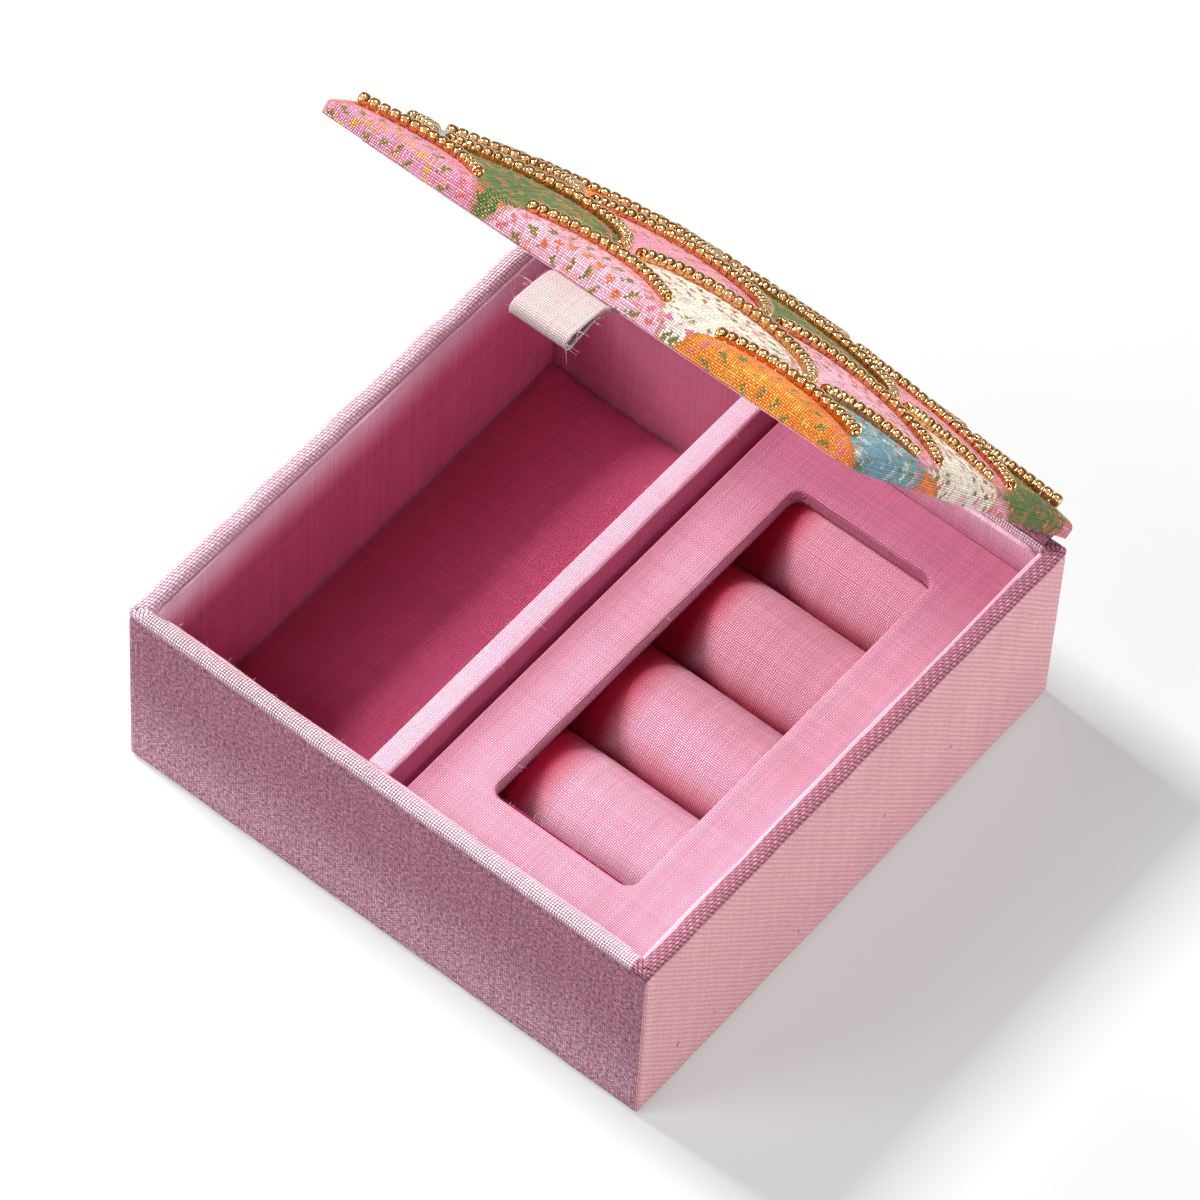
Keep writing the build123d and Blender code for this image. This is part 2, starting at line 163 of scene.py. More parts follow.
def stops(low, high, radius, step):
    """Grid values from low to high, closer together over the rounded ends."""
    ends = radius * np.array([0, 0.1, 0.3, 0.6])
    count = max(int(round((high - low - 2 * radius) / step)), 1)
    inner = np.linspace(low + radius, high - radius, count + 1)
    return np.concatenate([low + ends, inner, high - ends[::-1]])


def soft_box(name, low, high, radius, step, material, **more):
    """A box with round edges. Its cloth coordinates run over the top and down the sides."""
    low = np.array(low)
    high = np.array(high)
    lines = [stops(low[i], high[i], radius, step) for i in range(3)]
    verts = []
    faces = []
    uvs = []
    for axis, (a, b) in enumerate(((1, 2), (0, 2), (0, 1))):
        for level in (low[axis], high[axis]):
            grid = np.meshgrid(lines[a], lines[b], indexing="ij")
            points = np.empty(grid[0].shape + (3,))
            points[..., a] = grid[0]
            points[..., b] = grid[1]
            points[..., axis] = level
            coords = points[..., :2].copy()
            if axis != 2:
                drop = high[2] - points[..., 2]
                coords[..., axis] += drop * (1 if level == high[axis] else -1)
            core = np.clip(points, low + radius, high - radius)
            push = points - core
            points = core + radius * push / np.linalg.norm(push, axis=2, keepdims=True)
            start = sum(len(v) for v in verts)
            made, made_uvs = grid_faces(points, coords)
            verts.append(points.reshape(-1, 3))
            faces += [[start + i for i in f] for f in made]
            uvs += made_uvs
    return build(name, np.concatenate(verts), faces, uvs, material, **more)


def loop_stations(half, radius, step, turns):
    """Places round a rectangle with rounded corners, from the left end of its front side.

    Each has its core point, outward normal, mitre, share of the corner's turn or -1, and length.
    """
    found = []
    length = 0.0
    sides = ((0, -1), (1, 0), (0, 1), (-1, 0))
    for k, normal in enumerate(np.array(sides, float)):
        along = np.array([-normal[1], normal[0]])
        following = np.array(sides[(k + 1) % 4], float)
        reach = abs(along @ half) - radius
        out = abs(normal @ half) - radius
        count = int(round(2 * reach / step))
        for t in np.linspace(-reach, reach, count + 1):
            found.append((normal * out + along * t, normal, normal, -1.0, length + t + reach))
        length += 2 * reach
        corner = normal * out + along * reach
        for share in (np.arange(turns) + 1) / (turns + 1):
            angle = share * math.pi / 2
            turned = normal * math.cos(angle) + following * math.sin(angle)
            found.append((corner, turned, normal + following, share, length + radius * angle))
        length += radius * math.pi / 2
    return [np.array(column) for column in zip(*found)] + [length]


def run_along(path):
    """Length along a line of points, from its start to each of them."""
    return np.concatenate([[0], np.cumsum(np.linalg.norm(np.diff(path, axis=0), axis=1))])


def strip(low, high, count, path, thick):
    """A strip of cloth, across x from low to high and along a path in y and z.

    Gives the points and cloth coordinates round its section, and its length.
    """
    along = np.gradient(path, axis=0)
    side = np.column_stack([-along[:, 1], along[:, 0]])
    side /= np.linalg.norm(side, axis=1)[:, None]
    loop = np.concatenate([path + side * thick / 2, (path - side * thick / 2)[::-1]])
    run = run_along(path)
    rounds = np.concatenate([run, run[::-1], run[:1]])
    xs = np.linspace(low, high, count)
    points = np.array([[(x, *p) for p in loop] for x in xs])
    coords = np.array([[(x, r) for r in rounds] for x in xs])
    return points, coords, run[-1]


def points_of(piece):
    return np.array([v.co for v in piece.data.vertices])


def move_points(piece, points):
    piece.data.vertices.foreach_set("co", points.astype(np.float32).ravel())
    piece.data.update()


def arc(start, end, count):
    """Angles from start to end in degrees, as pairs of cosine and sine."""
    return [(math.cos(a), math.sin(a)) for a in np.radians(np.linspace(start, end, count))]


# Cloth simulation, on a larger copy because the solver is made for metres
SIM_SCALE = 20.0
SIM_FRAMES = 40
SIM_CLOTH = {
    "quality": 6,
    "mass": 0.3,
    "tension_stiffness": 12.0,
    "compression_stiffness": 6.0,
    "shear_stiffness": 4.0,
    "bending_stiffness": 0.4,
    "use_pressure": True,
}


def puff(piece, held, pressure, slack):
    """Blow a cloth skin up between the vertices that hold it, and keep the shape it comes to."""
    mesh = piece.data
    mesh.transform(Matrix.Scale(SIM_SCALE, 4))
    group = piece.vertex_groups.new(name="held")
    group.add([int(i) for i in held], 1.0, "REPLACE")
    skin = piece.modifiers.new("skin", "CLOTH")
    for key, value in SIM_CLOTH.items():
        setattr(skin.settings, key, value)
    skin.settings.uniform_pressure_force = pressure
    skin.settings.shrink_min = -slack
    skin.settings.vertex_group_mass = group.name
    skin.settings.effector_weights.gravity = 0.0
    skin.collision_settings.use_collision = False
    skin.point_cache.frame_end = SIM_FRAMES
    for step in range(1, SIM_FRAMES + 1):
        bpy.context.scene.frame_set(step)
    graph = bpy.context.evaluated_depsgraph_get()
    shaped = np.empty(len(mesh.vertices) * 3, np.float32)
    piece.evaluated_get(graph).data.vertices.foreach_get("co", shaped)
    piece.modifiers.clear()
    piece.vertex_groups.clear()
    mesh.vertices.foreach_set("co", shaped / SIM_SCALE)
    mesh.update()
    bpy.context.scene.frame_set(1)


# Materials
class Term:
    """A number that a node gives. Sums and products of terms become math nodes."""

    def __init__(self, nodes, socket):
        self.nodes = nodes
        self.socket = socket

    def __add__(self, other):
        return self.nodes.math("ADD", self, other)

    def __sub__(self, other):
        return self.nodes.math("SUBTRACT", self, other)

    def __mul__(self, other):
        return self.nodes.math("MULTIPLY", self, other)

    def __truediv__(self, other):
        return self.nodes.math("DIVIDE", self, other)

    def times(self, factor, plus):
        return self.nodes.math("MULTIPLY_ADD", self, factor, plus)


class Nodes:
    """A node tree whose nodes are added by short calls."""

    def __init__(self, tree):
        self.tree = tree

    def put(self, socket, value):
        value = getattr(value, "socket", value)
        if isinstance(value, bpy.types.NodeSocket):
            self.tree.links.new(value, socket)
        else:
            socket.default_value = value

    def node(self, kind, inputs=(), **settings):
        made = self.tree.nodes.new("ShaderNode" + kind)
        for key, value in settings.items():
            setattr(made, key, value)
        for key, value in dict(inputs).items():
            self.put(made.inputs[key], value)
        return made

    def math(self, operation, *values):
        return Term(self, self.node("Math", enumerate(values), operation=operation).outputs[0])

    def mix(self, share, first, second):
        """Colours, or numbers where the first is a number."""
        if isinstance(first, (float, Term)):
            made = self.node("Mix", {0: share, 2: first, 3: second}, data_type="FLOAT")
            return Term(self, made.outputs[0])
        return self.node("Mix", {0: share, 6: first, 7: second}, data_type="RGBA").outputs[2]

    def share(self, value, low, high, **settings):
        """0 to 1 while a number goes from low to high."""
        made = self.node("MapRange", {0: value, 1: low, 2: high}, **settings)
        return Term(self, made.outputs[0])

    def tint(self, colour, amount):
        """A colour made lighter or darker by a number."""
        scaled = self.node("VectorMath", {0: colour, "Scale": amount}, operation="SCALE")
        return scaled.outputs[0]

    def noise(self, vector, scale, detail=2.0):
        inputs = {"Vector": vector, "Scale": scale, "Detail": detail}
        return Term(self, self.node("TexNoise", inputs).outputs["Fac"])

    def random(self, number):
        """A random number of 0 to 1 for each number."""
        made = self.node("TexWhiteNoise", {"W": number}, noise_dimensions="1D")
        return Term(self, made.outputs[0])

    def ramp(self, share, colours, places=None):
        """Colours by a number: in equal plain steps, or blended between given places."""
        made = self.node("ValToRGB", {0: share})
        made.color_ramp.interpolation = "LINEAR" if places else "CONSTANT"
        points = made.color_ramp.elements
        while len(points) < len(colours):
            points.new(1.0)
        for index, colour in enumerate(colours):
            points[index].position = places[index] if places else index / len(colours)
            points[index].color = colour
        return made.outputs[0]

    def vector(self, x, y):
        return self.node("CombineXYZ", {0: x, 1: y}).outputs[0]

    def parts(self, vector):
        return [Term(self, part) for part in self.node("SeparateXYZ", {0: vector}).outputs]

    def place(self):
        return self.node("TexCoord").outputs["Object"]


class Shader(Nodes):
    """A material and its nodes."""

    def __init__(self, name):
        self.material = bpy.data.materials.new(name)
        self.material.use_nodes = True
        super().__init__(self.material.node_tree)
        self.surface = self.tree.nodes["Principled BSDF"]

    def set(self, **values):
        for key, value in values.items():
            self.put(self.surface.inputs[key.replace("_", " ")], value)

    def bump(self, height, distance, strength, before=None):
        inputs = {"Height": height, "Distance": distance, "Strength": strength}
        if before:
            inputs["Normal"] = before
        return self.node("Bump", inputs).outputs[0]


def rgb(red, green, blue):
    """A screen colour of 0 to 255 as linear light."""
    found = []
    for part in (red, green, blue):
        share = part / 255
        found.append(share / 12.92 if share <= 0.04045 else ((share + 0.055) / 1.055) ** 2.4)
    return (*found, 1.0)


# Unevenness of cloth: noises in repeats to a metre, and how far threads wander from their lines
SWAY_U_NOISE = 90.0
SWAY_V_NOISE = 70.0
WORN_NOISE = 45.0
FLECK_NOISE = 1300.0
CLOUD_NOISE = 280.0
SPECK_NOISE = 420.0
RUMPLE_NOISE = 160.0
SLUB_NOISE = 0.9
SLUB_DRAWN = 0.06
CLOTH_WANDER = 0.5 * MM
PRINT_WANDER = 0.7 * MM
THREAD_ROUND = 0.6
GAP_ROUGH = 0.95
THREAD_ROUGH = 0.75
SPECK_LEVEL = 0.77
SPECK_MOST = 0.75
RIB_LEAN = 1.14
RIB_SPACING = 1.06 * MM
# Gap colour under painted shade, as a share of the shade's thread colour
PAINTED_SHADE_GAP = 0.5


class Weave:
    """A plain weave on the cloth coordinates: thread numbers, which thread is above, and height."""

    def __init__(self, shader, pitch, wander, solid=False, stretch=1.0, lean=0.0):
        coords = solid_coords(shader) if solid else shader.node("UVMap", uv_map=UV_NAME).outputs[0]
        across, along, _ = shader.parts(coords)
        u = (shader.noise(coords, SWAY_U_NOISE) - 0.5).times(wander, across)
        v = (shader.noise(coords, SWAY_V_NOISE, 3.0) - 0.5).times(wander, along)
        u = v.times(lean, u) if lean else u
        self.coords = coords
        self.u = u / (pitch * stretch)
        self.v = v / pitch
        crossing = shader.math("SINE", self.u * math.pi) * shader.math("SINE", self.v * math.pi)
        self.over = shader.math("GREATER_THAN", crossing, 0.0)
        self.height = shader.math("POWER", shader.math("ABSOLUTE", crossing), THREAD_ROUND)
        self.warp = shader.math("FLOOR", self.u)
        self.weft = shader.math("FLOOR", self.v)
        self.tone = shader.random(shader.mix(self.over, self.weft + 0.5, self.warp))
        slub_warp = shader.noise(shader.vector(self.u, self.v * SLUB_DRAWN), SLUB_NOISE)
        slub_weft = shader.noise(shader.vector(self.u * SLUB_DRAWN, self.v), SLUB_NOISE)
        self.slub = shader.mix(self.over, slub_weft, slub_warp)


def solid_coords(shader):
    """Cloth coordinates for a box-like solid that has none of its own."""
    x, y, z = shader.parts(shader.place())
    return shader.vector(x + z, y + z)


def painted_shade_share(shader, fades):
    """How much painted shade a cloth gets: the largest of its fades, or None without any."""
    shade_amount = None
    for axis, start, end, most in fades:
        along = shader.parts(shader.place())[axis]
        share = shader.share(along, start, end, interpolation_type="SMOOTHSTEP") * most
        shade_amount = shader.math("MAXIMUM", shade_amount, share) if shade_amount else share
    return shade_amount


def cloth(
    name, pitch, threads, shade_colour=None, fades=(), heather=0.0, ribs=0.0, specks=None, relief=0.7,
    gaps=(0.2, 0.92), solid=False, stretch=1.0, lean=0.0,
):
    """Woven cloth of two thread colours over a darker gap, with uneven threads.

    shade_colour is the thread colour of painted shade, where the cloth would lie in shade. Each of fades
    is an axis of the frame, the two places between which the painted shade comes in, and its most.
    heather is how far the tone changes from fleck to fleck, ribs how far over slanting ribs, specks the
    colour of a few coarse fibres, and gaps the heights of the weave between which a thread comes out of
    the gap. stretch and lean draw the threads out along the cloth, as in a cord.
    """
    shader = Shader(name)
    warp, weft, gap = threads
    weave = Weave(shader, pitch, CLOTH_WANDER, solid, stretch, lean)
    thread = shader.mix(weave.over, weft, warp)
    # Painted shade: threads and gap go over to the shade colour where the cloth would lie in shade
    shade_amount = painted_shade_share(shader, fades)
    if shade_amount:
        thread = shader.mix(shade_amount, thread, shade_colour)
        gap = shader.mix(shade_amount, gap, (*[PAINTED_SHADE_GAP * part for part in shade_colour[:3]], 1.0))
    amount = weave.tone.times(0.24, 0.86) * weave.slub.times(0.5, 0.75)
    amount = amount * shader.noise(weave.coords, WORN_NOISE, 4.0).times(0.24, 0.88)
    if heather:
        fleck = shader.noise(weave.coords, FLECK_NOISE, 5.0)
        cloud = shader.noise(weave.coords, CLOUD_NOISE, 3.0)
        amount = amount * fleck.times(4.4 * heather, 1 - 2.2 * heather)
        amount = amount * cloud.times(0.36 * heather, 1 - 0.18 * heather)
    height = weave.height
    if ribs:
        turn = 2 * math.pi * pitch / (RIB_SPACING * math.hypot(RIB_LEAN, 1))
        rib = shader.math("SINE", weave.u.times(RIB_LEAN, weave.v) * turn)
        amount = amount * rib.times(ribs, 1.0)
        height = rib.times(ribs, height)
    shade = shader.share(height, *gaps)
    colour = shader.mix(shade, gap, shader.tint(thread, amount))
    if specks:
        coarse = shader.math("GREATER_THAN", shader.noise(weave.coords, SPECK_NOISE, 1.0), SPECK_LEVEL)
        colour = shader.mix(coarse * SPECK_MOST, colour, specks)
    shader.set(Base_Color=colour, Roughness=shader.mix(shade, GAP_ROUGH, THREAD_ROUGH))
    shader.set(Sheen_Weight=0.06, Sheen_Roughness=0.45, Sheen_Tint=warp, Specular_IOR_Level=0.15)
    rumple = shader.bump(shader.noise(weave.coords, RUMPLE_NOISE, 3.0), 0.25 * MM, 0.12)
    shader.set(Normal=shader.bump(height, 0.45 * pitch, relief, rumple))
    return shader.material


# The lid's print: colours of the fields and their marks. Each ring of marks has its radius, the spacing,
# length and width of a mark, its turn and its colour, where None is the scallop's own second colour.
PRINT_FIELDS = (
    rgb(66, 112, 40),
    rgb(250, 182, 208),
    rgb(160, 204, 224),
    rgb(252, 246, 226),
    rgb(255, 132, 8),
    rgb(242, 150, 186),
    rgb(104, 164, 186),
)
PRINT_MOTIFS = (
    rgb(248, 168, 40),
    rgb(246, 236, 208),
    rgb(236, 110, 60),
    rgb(226, 100, 148),
)
PRINT_CORAL = rgb(232, 112, 120)
PRINT_OLIVE = rgb(132, 122, 48)
# Rust line along the bead rows: partly the print's own edge, partly painted reflection of the gold beads
PRINT_RUST_AND_REFLECTION = rgb(190, 108, 48)
PRINT_WARP = rgb(244, 232, 206)
PRINT_RINGS = (
    (19.0 * MM, 2.6 * MM, 0.9 * MM, 0.8 * MM, 0.0, PRINT_CORAL),
    (15.4 * MM, 3.8 * MM, 1.5 * MM, 0.6 * MM, 0.0, PRINT_OLIVE),
    (12.0 * MM, 3.2 * MM, 0.8 * MM, 0.9 * MM, 0.5, None),
    (8.4 * MM, 3.4 * MM, 1.3 * MM, 0.5 * MM, 0.0, PRINT_OLIVE),
)
PRINT_EDGE = 1.1 * MM
PRINT_SLIP = 0.9 * MM
PATCH_NOISE = 330.0
PATCH_LEVEL = 0.57


def printed_cloth(name, first_row):
    """Woven scale print: plain fields in scallops, each with rings of dots and dashes."""
    shader = Shader(name)
    weave = Weave(shader, PRINT_PITCH, PRINT_WANDER)
    x = (shader.random(weave.weft) - 0.5).times(PRINT_SLIP, (weave.warp + 0.5) * PRINT_PITCH)
    y = (shader.random(weave.warp) - 0.5).times(PRINT_SLIP, (weave.weft + 0.5) * PRINT_PITCH)

    def scale_at(row):
        """Offset from the scallop's middle, its column and its distance, for one row."""
        half = shader.math("FLOORED_MODULO", row, 2.0) * (SCALLOP_WIDTH / 2)
        places = (x - SCALLOP_SHIFT - half).times(1 / SCALLOP_WIDTH, 0.5)
        column = shader.math("FLOOR", places)
        across = (places - column - 0.5) * SCALLOP_WIDTH
        along = y - first_row - row * SCALLOP_STEP
        return across, along, column, shader.math("SQRT", across.times(across, along * along))

    front = shader.math("CEIL", (y - first_row - SCALLOP_RADIUS) / SCALLOP_STEP)
    behind = front + 1.0
    front_scale = scale_at(front)
    inside = shader.math("LESS_THAN", front_scale[3], SCALLOP_RADIUS)
    pairs = zip(front_scale, scale_at(behind))
    across, along, column, distance = (shader.mix(inside, b, f) for f, b in pairs)
    row = shader.mix(inside, behind, front)
    pick = shader.math("FRACT", column.times(0.4286, row * 0.2857) + 0.213)
    field = shader.ramp(pick, PRINT_FIELDS)
    motif = shader.ramp(shader.math("FRACT", pick + 0.43), PRINT_MOTIFS)
    patch = shader.math("GREATER_THAN", shader.noise(shader.vector(x, y), PATCH_NOISE), PATCH_LEVEL)
    colour = shader.mix(patch * 0.4, field, motif)
    angle = shader.math("ARCTAN2", across, along)
    for ring, spacing, long, wide, turn, ink in PRINT_RINGS:
        cell = shader.math("FRACT", angle.times(ring / spacing, turn)) - 0.5
        side = cell * (spacing / wide)
        outward = (distance - ring) * (1 / long)
        mark = shader.math("LESS_THAN", side.times(side, outward * outward), 1.0)
        colour = shader.mix(mark, colour, ink or motif)
    # Rust line under the beads: partly print, partly painted reflection of the gold beads
    edge = shader.math("GREATER_THAN", distance, SCALLOP_RADIUS - PRINT_EDGE)
    colour = shader.mix(edge * 0.6, colour, PRINT_RUST_AND_REFLECTION)

    uneven = weave.tone.times(0.6, 0.72) * weave.slub.times(0.8, 0.65)
    pale = shader.mix(0.2, colour, PRINT_WARP)
    thread = shader.tint(shader.mix(weave.over, colour, pale), uneven)
    shade = shader.share(weave.height, 0.05, 0.7)
    shader.set(Base_Color=shader.mix(shade, shader.tint(colour, 0.22), thread))
    shader.set(Roughness=shader.mix(shade, GAP_ROUGH, THREAD_ROUGH))
    shader.set(Sheen_Weight=0.04, Sheen_Roughness=0.5, Specular_IOR_Level=0.12)
    shader.set(Normal=shader.bump(weave.height, 0.5 * PRINT_PITCH, 0.9))
    return shader.material


def gold():
    """Gold-plated beads: polished, with faint scuffs and small changes of tone."""
    shader = Shader("gold_bead")
    place = shader.place()
    tone = shader.noise(place, 420.0)
    scuff = shader.noise(place, 2600.0, 3.0)
    shader.set(Base_Color=shader.mix(tone, rgb(194, 136, 80), rgb(236, 190, 132)), Metallic=1.0)
    shader.set(Roughness=scuff.times(0.12, 0.03))
    shader.set(Normal=shader.bump(scuff, 0.02 * MM, 0.2))
    return shader.material


def fibre(name, light, dark, grain):
    """Board, foam or hair: fine mottled fibres."""
    shader = Shader(name)
    speck = shader.noise(shader.place(), grain, 5.0)
    shader.set(Base_Color=shader.mix(speck, dark, light), Roughness=speck.times(0.2, 0.75))
    shader.set(Normal=shader.bump(speck, 0.1 * MM, 0.4))
    return shader.material


# Painted shade on the cloths, where they would lie in shade: axis, the place where it starts, where it is
# full, and its most
# Down the well: painted shade, darker towards its floor
WELL_PAINTED_SHADE = ((2, 48.0 * MM, 36.0 * MM, 1.0),)
# Rolls: painted shade in the crevices between them, at their left ends under the frame's edge, and
# towards the back under the lid
ROLL_PAINTED_SHADE = (
    (2, 34.0 * MM, 23.0 * MM, 1.0),
    (0, 22.0 * MM, 13.0 * MM, 1.0),
    (1, -20.0 * MM, 25.0 * MM, 0.25),
)
# Tray frame: painted shade towards the back under the lid and next to the divider
TRAY_PAINTED_SHADE = ((1, 14.0 * MM, 60.0 * MM, 0.75), (0, 7.0 * MM, -2.7 * MM, 0.4))
# Divider: painted shade down its sides below its top
DIVIDER_PAINTED_SHADE = ((2, 47.9 * MM, 46.4 * MM, 1.0),)
# Outer linen: painted shade, darker towards the top, where less light comes up from the floor
LINEN_PAINTED_SHADE = ((2, 4.0 * MM, 32.0 * MM, 0.65),)

# Threads of the cloths: warp, weft and gap
LINEN_THREADS = (rgb(255, 228, 240), rgb(240, 176, 200), rgb(158, 72, 104))
SIDE_THREADS = (rgb(250, 214, 218), rgb(242, 194, 200), rgb(212, 138, 148))
RIM_THREADS = (rgb(255, 250, 252), rgb(255, 228, 238), rgb(150, 52, 92))
RIM_LEFT_THREADS = (rgb(255, 242, 247), rgb(248, 214, 226), rgb(170, 84, 116))
# The right end of the rim: darker threads, for painted shade
RIM_RIGHT_SHADED_THREADS = (rgb(200, 144, 160), rgb(178, 116, 134), rgb(92, 34, 56))
LINING_THREADS = (rgb(246, 222, 237), rgb(245, 200, 222), rgb(176, 40, 92))
# Divider's threads: paler than the lining, a painted highlight on its top
DIVIDER_LIT_THREADS = (rgb(255, 240, 247), rgb(255, 230, 240), rgb(214, 116, 156))
RIBBON_THREADS = (rgb(200, 226, 210), rgb(202, 206, 200), rgb(184, 114, 134))
UNDER_THREADS = (rgb(206, 140, 158), rgb(190, 120, 142), rgb(140, 70, 96))
# The tray's rails: dark, for painted shade where they show at the window's front edge
RAIL_SHADE_THREADS = (rgb(206, 70, 116), rgb(180, 48, 92), rgb(110, 16, 50))
WALL_GAPS = (0.05, 0.5)


def lining_cloth(name, shade_colour=None, fades=(), **more):
    """The pink lining, with painted shade where it would lie in shade."""
    return cloth(name, LINING_PITCH, LINING_THREADS, shade_colour, fades, **more)


# The outer linen has painted shade, darker towards the top
linen = cloth(
    "outer_linen", LINEN_PITCH, LINEN_THREADS, rgb(190, 118, 146), LINEN_PAINTED_SHADE, heather=0.9,
    gaps=(0.12, 0.8),
)
side_linen = cloth("side_linen", LINEN_PITCH, SIDE_THREADS, ribs=0.1, specks=rgb(120, 40, 60))
rim_linen = cloth("rim_linen", RIM_PITCH, RIM_THREADS, relief=1.0, gaps=(0.2, 0.72))
rim_left = cloth(
    "rim_left", RIM_PITCH, RIM_LEFT_THREADS, relief=1.0, gaps=(0.12, 0.65), stretch=1.5, lean=0.5,
)
rim_right = cloth(
    "rim_right", RIM_PITCH, RIM_RIGHT_SHADED_THREADS, relief=1.0, gaps=(0.12, 0.75), stretch=1.8, lean=0.7,
)
lining = lining_cloth("pink_lining")
# Copies of the lining with painted shade by the fades above: tray frame, well liners, back liner, pad and
# rolls
tray_lining_shaded = lining_cloth("tray_lining_shaded", rgb(190, 84, 124), TRAY_PAINTED_SHADE)
well_lining_shaded = lining_cloth("well_lining_shaded", rgb(255, 160, 194), WELL_PAINTED_SHADE, gaps=WALL_GAPS)
back_lining_shaded = lining_cloth("back_lining_shaded", rgb(226, 132, 164), WELL_PAINTED_SHADE, gaps=WALL_GAPS)
pad_lining_shaded = lining_cloth("pad_lining_shaded", rgb(228, 100, 144), WELL_PAINTED_SHADE)
roll_lining_shaded = lining_cloth("roll_lining_shaded", rgb(192, 14, 56), ROLL_PAINTED_SHADE)
# The divider's lining: a painted highlight on its top and painted shade down its sides
pale_lining = cloth("pale_lining", LINING_PITCH, DIVIDER_LIT_THREADS, rgb(186, 80, 120), DIVIDER_PAINTED_SHADE)
ribbon = cloth("ribbon", RIBBON_PITCH, RIBBON_THREADS)
underside = cloth("bottom_cloth", LINING_PITCH, UNDER_THREADS)
rail_shade_cloth = cloth("rail_shade_cloth", LINING_PITCH, RAIL_SHADE_THREADS, solid=True)
beads_gold = gold()
greyboard = fibre("greyboard", rgb(186, 178, 166), rgb(150, 142, 130), 900.0)
foam = fibre("foam", rgb(240, 228, 224), rgb(224, 204, 204), 2500.0)
fibre_pale = fibre("fibre_pale", rgb(255, 226, 234), rgb(238, 178, 198), 900.0)

# Outer wrap: up the outside, over the rim and down the inside, turned under at the bottom
wrap_low, wrap_high = node_box("outer_wrap")
wrap_half = (wrap_high[:2] - wrap_low[:2]) / 2
WRAP_CLOTH = 0.5 * MM
WRAP_CORNER = 1.0 * MM
WRAP_FOOT = 1.0 * MM
WRAP_STEP = 1.0 * MM
WRAP_TURNS = 9
WRAP_TURN_UNDER = 12 * MM
WRAP_SIDE_TOP = 5 * MM
RIM = 3.6 * MM
RIM_RADIUS = 1.7 * MM
RIM_OUTER = 1.2 * MM
RIM_CREASE = 0.45 * MM
RIM_BAND = 2.6 * MM
GROOVE = 0.4 * MM
GROOVE_START = 4.5 * MM
GROOVE_MIDDLE = 2.7 * MM
GROOVE_WIDTH = 0.8 * MM

# Waves of the rim: how far they push it out at least, then the size, count and start of each, in mm
RIM_SPREAD = 0.08
RIM_WAVES = ((0.09, 23, 0.6), (0.06, 41, 2.1), (0.04, 87, 4.0))
RIM_SWELL = 0.9
SIDE_SWELL = 0.35
RIM_LIFT = 0.6

# At the corners the groove and the round of the rim are shallower, so that they clear the boards
CORNER_EASE = 0.9
CORNER_EASED = 0.9 * MM


def wrap_profile():
    """Inset and height round the wrap's section: outside, rim, inside, then back along its inner side."""
    top = wrap_high[2]
    foot = wrap_low[2]
    floor_top = node_box("bottom_board")[1][2]
    outside = [(WRAP_TURN_UNDER, foot)]
    outside += [(WRAP_FOOT * (1 - c), foot + WRAP_FOOT * (1 - s)) for c, s in arc(90, 0, 5)]
    heights = list(np.linspace(foot + WRAP_FOOT, top - WRAP_SIDE_TOP, 16)[1:])
    heights += list(np.linspace(top - GROOVE_START, top - RIM_OUTER, 9)[:-1])
    for h in heights:
        off = (top - h - GROOVE_MIDDLE) / GROOVE_WIDTH
        outside.append((GROOVE * math.exp(-(off**2)), h))
    outside += [(RIM_OUTER * (1 - c), top - RIM_OUTER * (1 - s)) for c, s in arc(0, 90, 8)]
    outside += [(RIM - RIM_RADIUS * (1 - c), top - RIM_RADIUS * (1 - s)) for c, s in arc(90, 0, 8)]
    outside += [(RIM, h) for h in np.linspace(top - RIM_RADIUS, floor_top, 6)[1:]]
    inside = [
        (RIM - WRAP_CLOTH, floor_top),
        (RIM - WRAP_CLOTH, top - WRAP_CLOTH - RIM_RADIUS),
        (RIM / 2, top - WRAP_CLOTH),
        (WRAP_CLOTH, top - WRAP_CLOTH - RIM_RADIUS),
        (WRAP_CLOTH, foot + WRAP_CLOTH + WRAP_FOOT),
        (WRAP_CLOTH + WRAP_FOOT, foot + WRAP_CLOTH),
        (WRAP_TURN_UNDER, foot + WRAP_CLOTH),
    ]
    return np.array(outside), np.array(inside)


def wrap_finish(piece):
    """Ribbed linen on the right side, and cords of coarser threads on the rim, the right end's cord
    darker for painted shade.
    """
    for material in (side_linen, rim_linen, rim_left, rim_right):
        piece.data.materials.append(material)
    for face in piece.data.polygons:
        if face.center.z > wrap_high[2] - RIM_BAND:
            at_end = abs(face.center.x) >= wrap_half[0] - RIM
            face.material_index = 3 + (face.center.x > 0) if at_end else 2
        elif face.normal.x > 0.5:
            face.material_index = 1


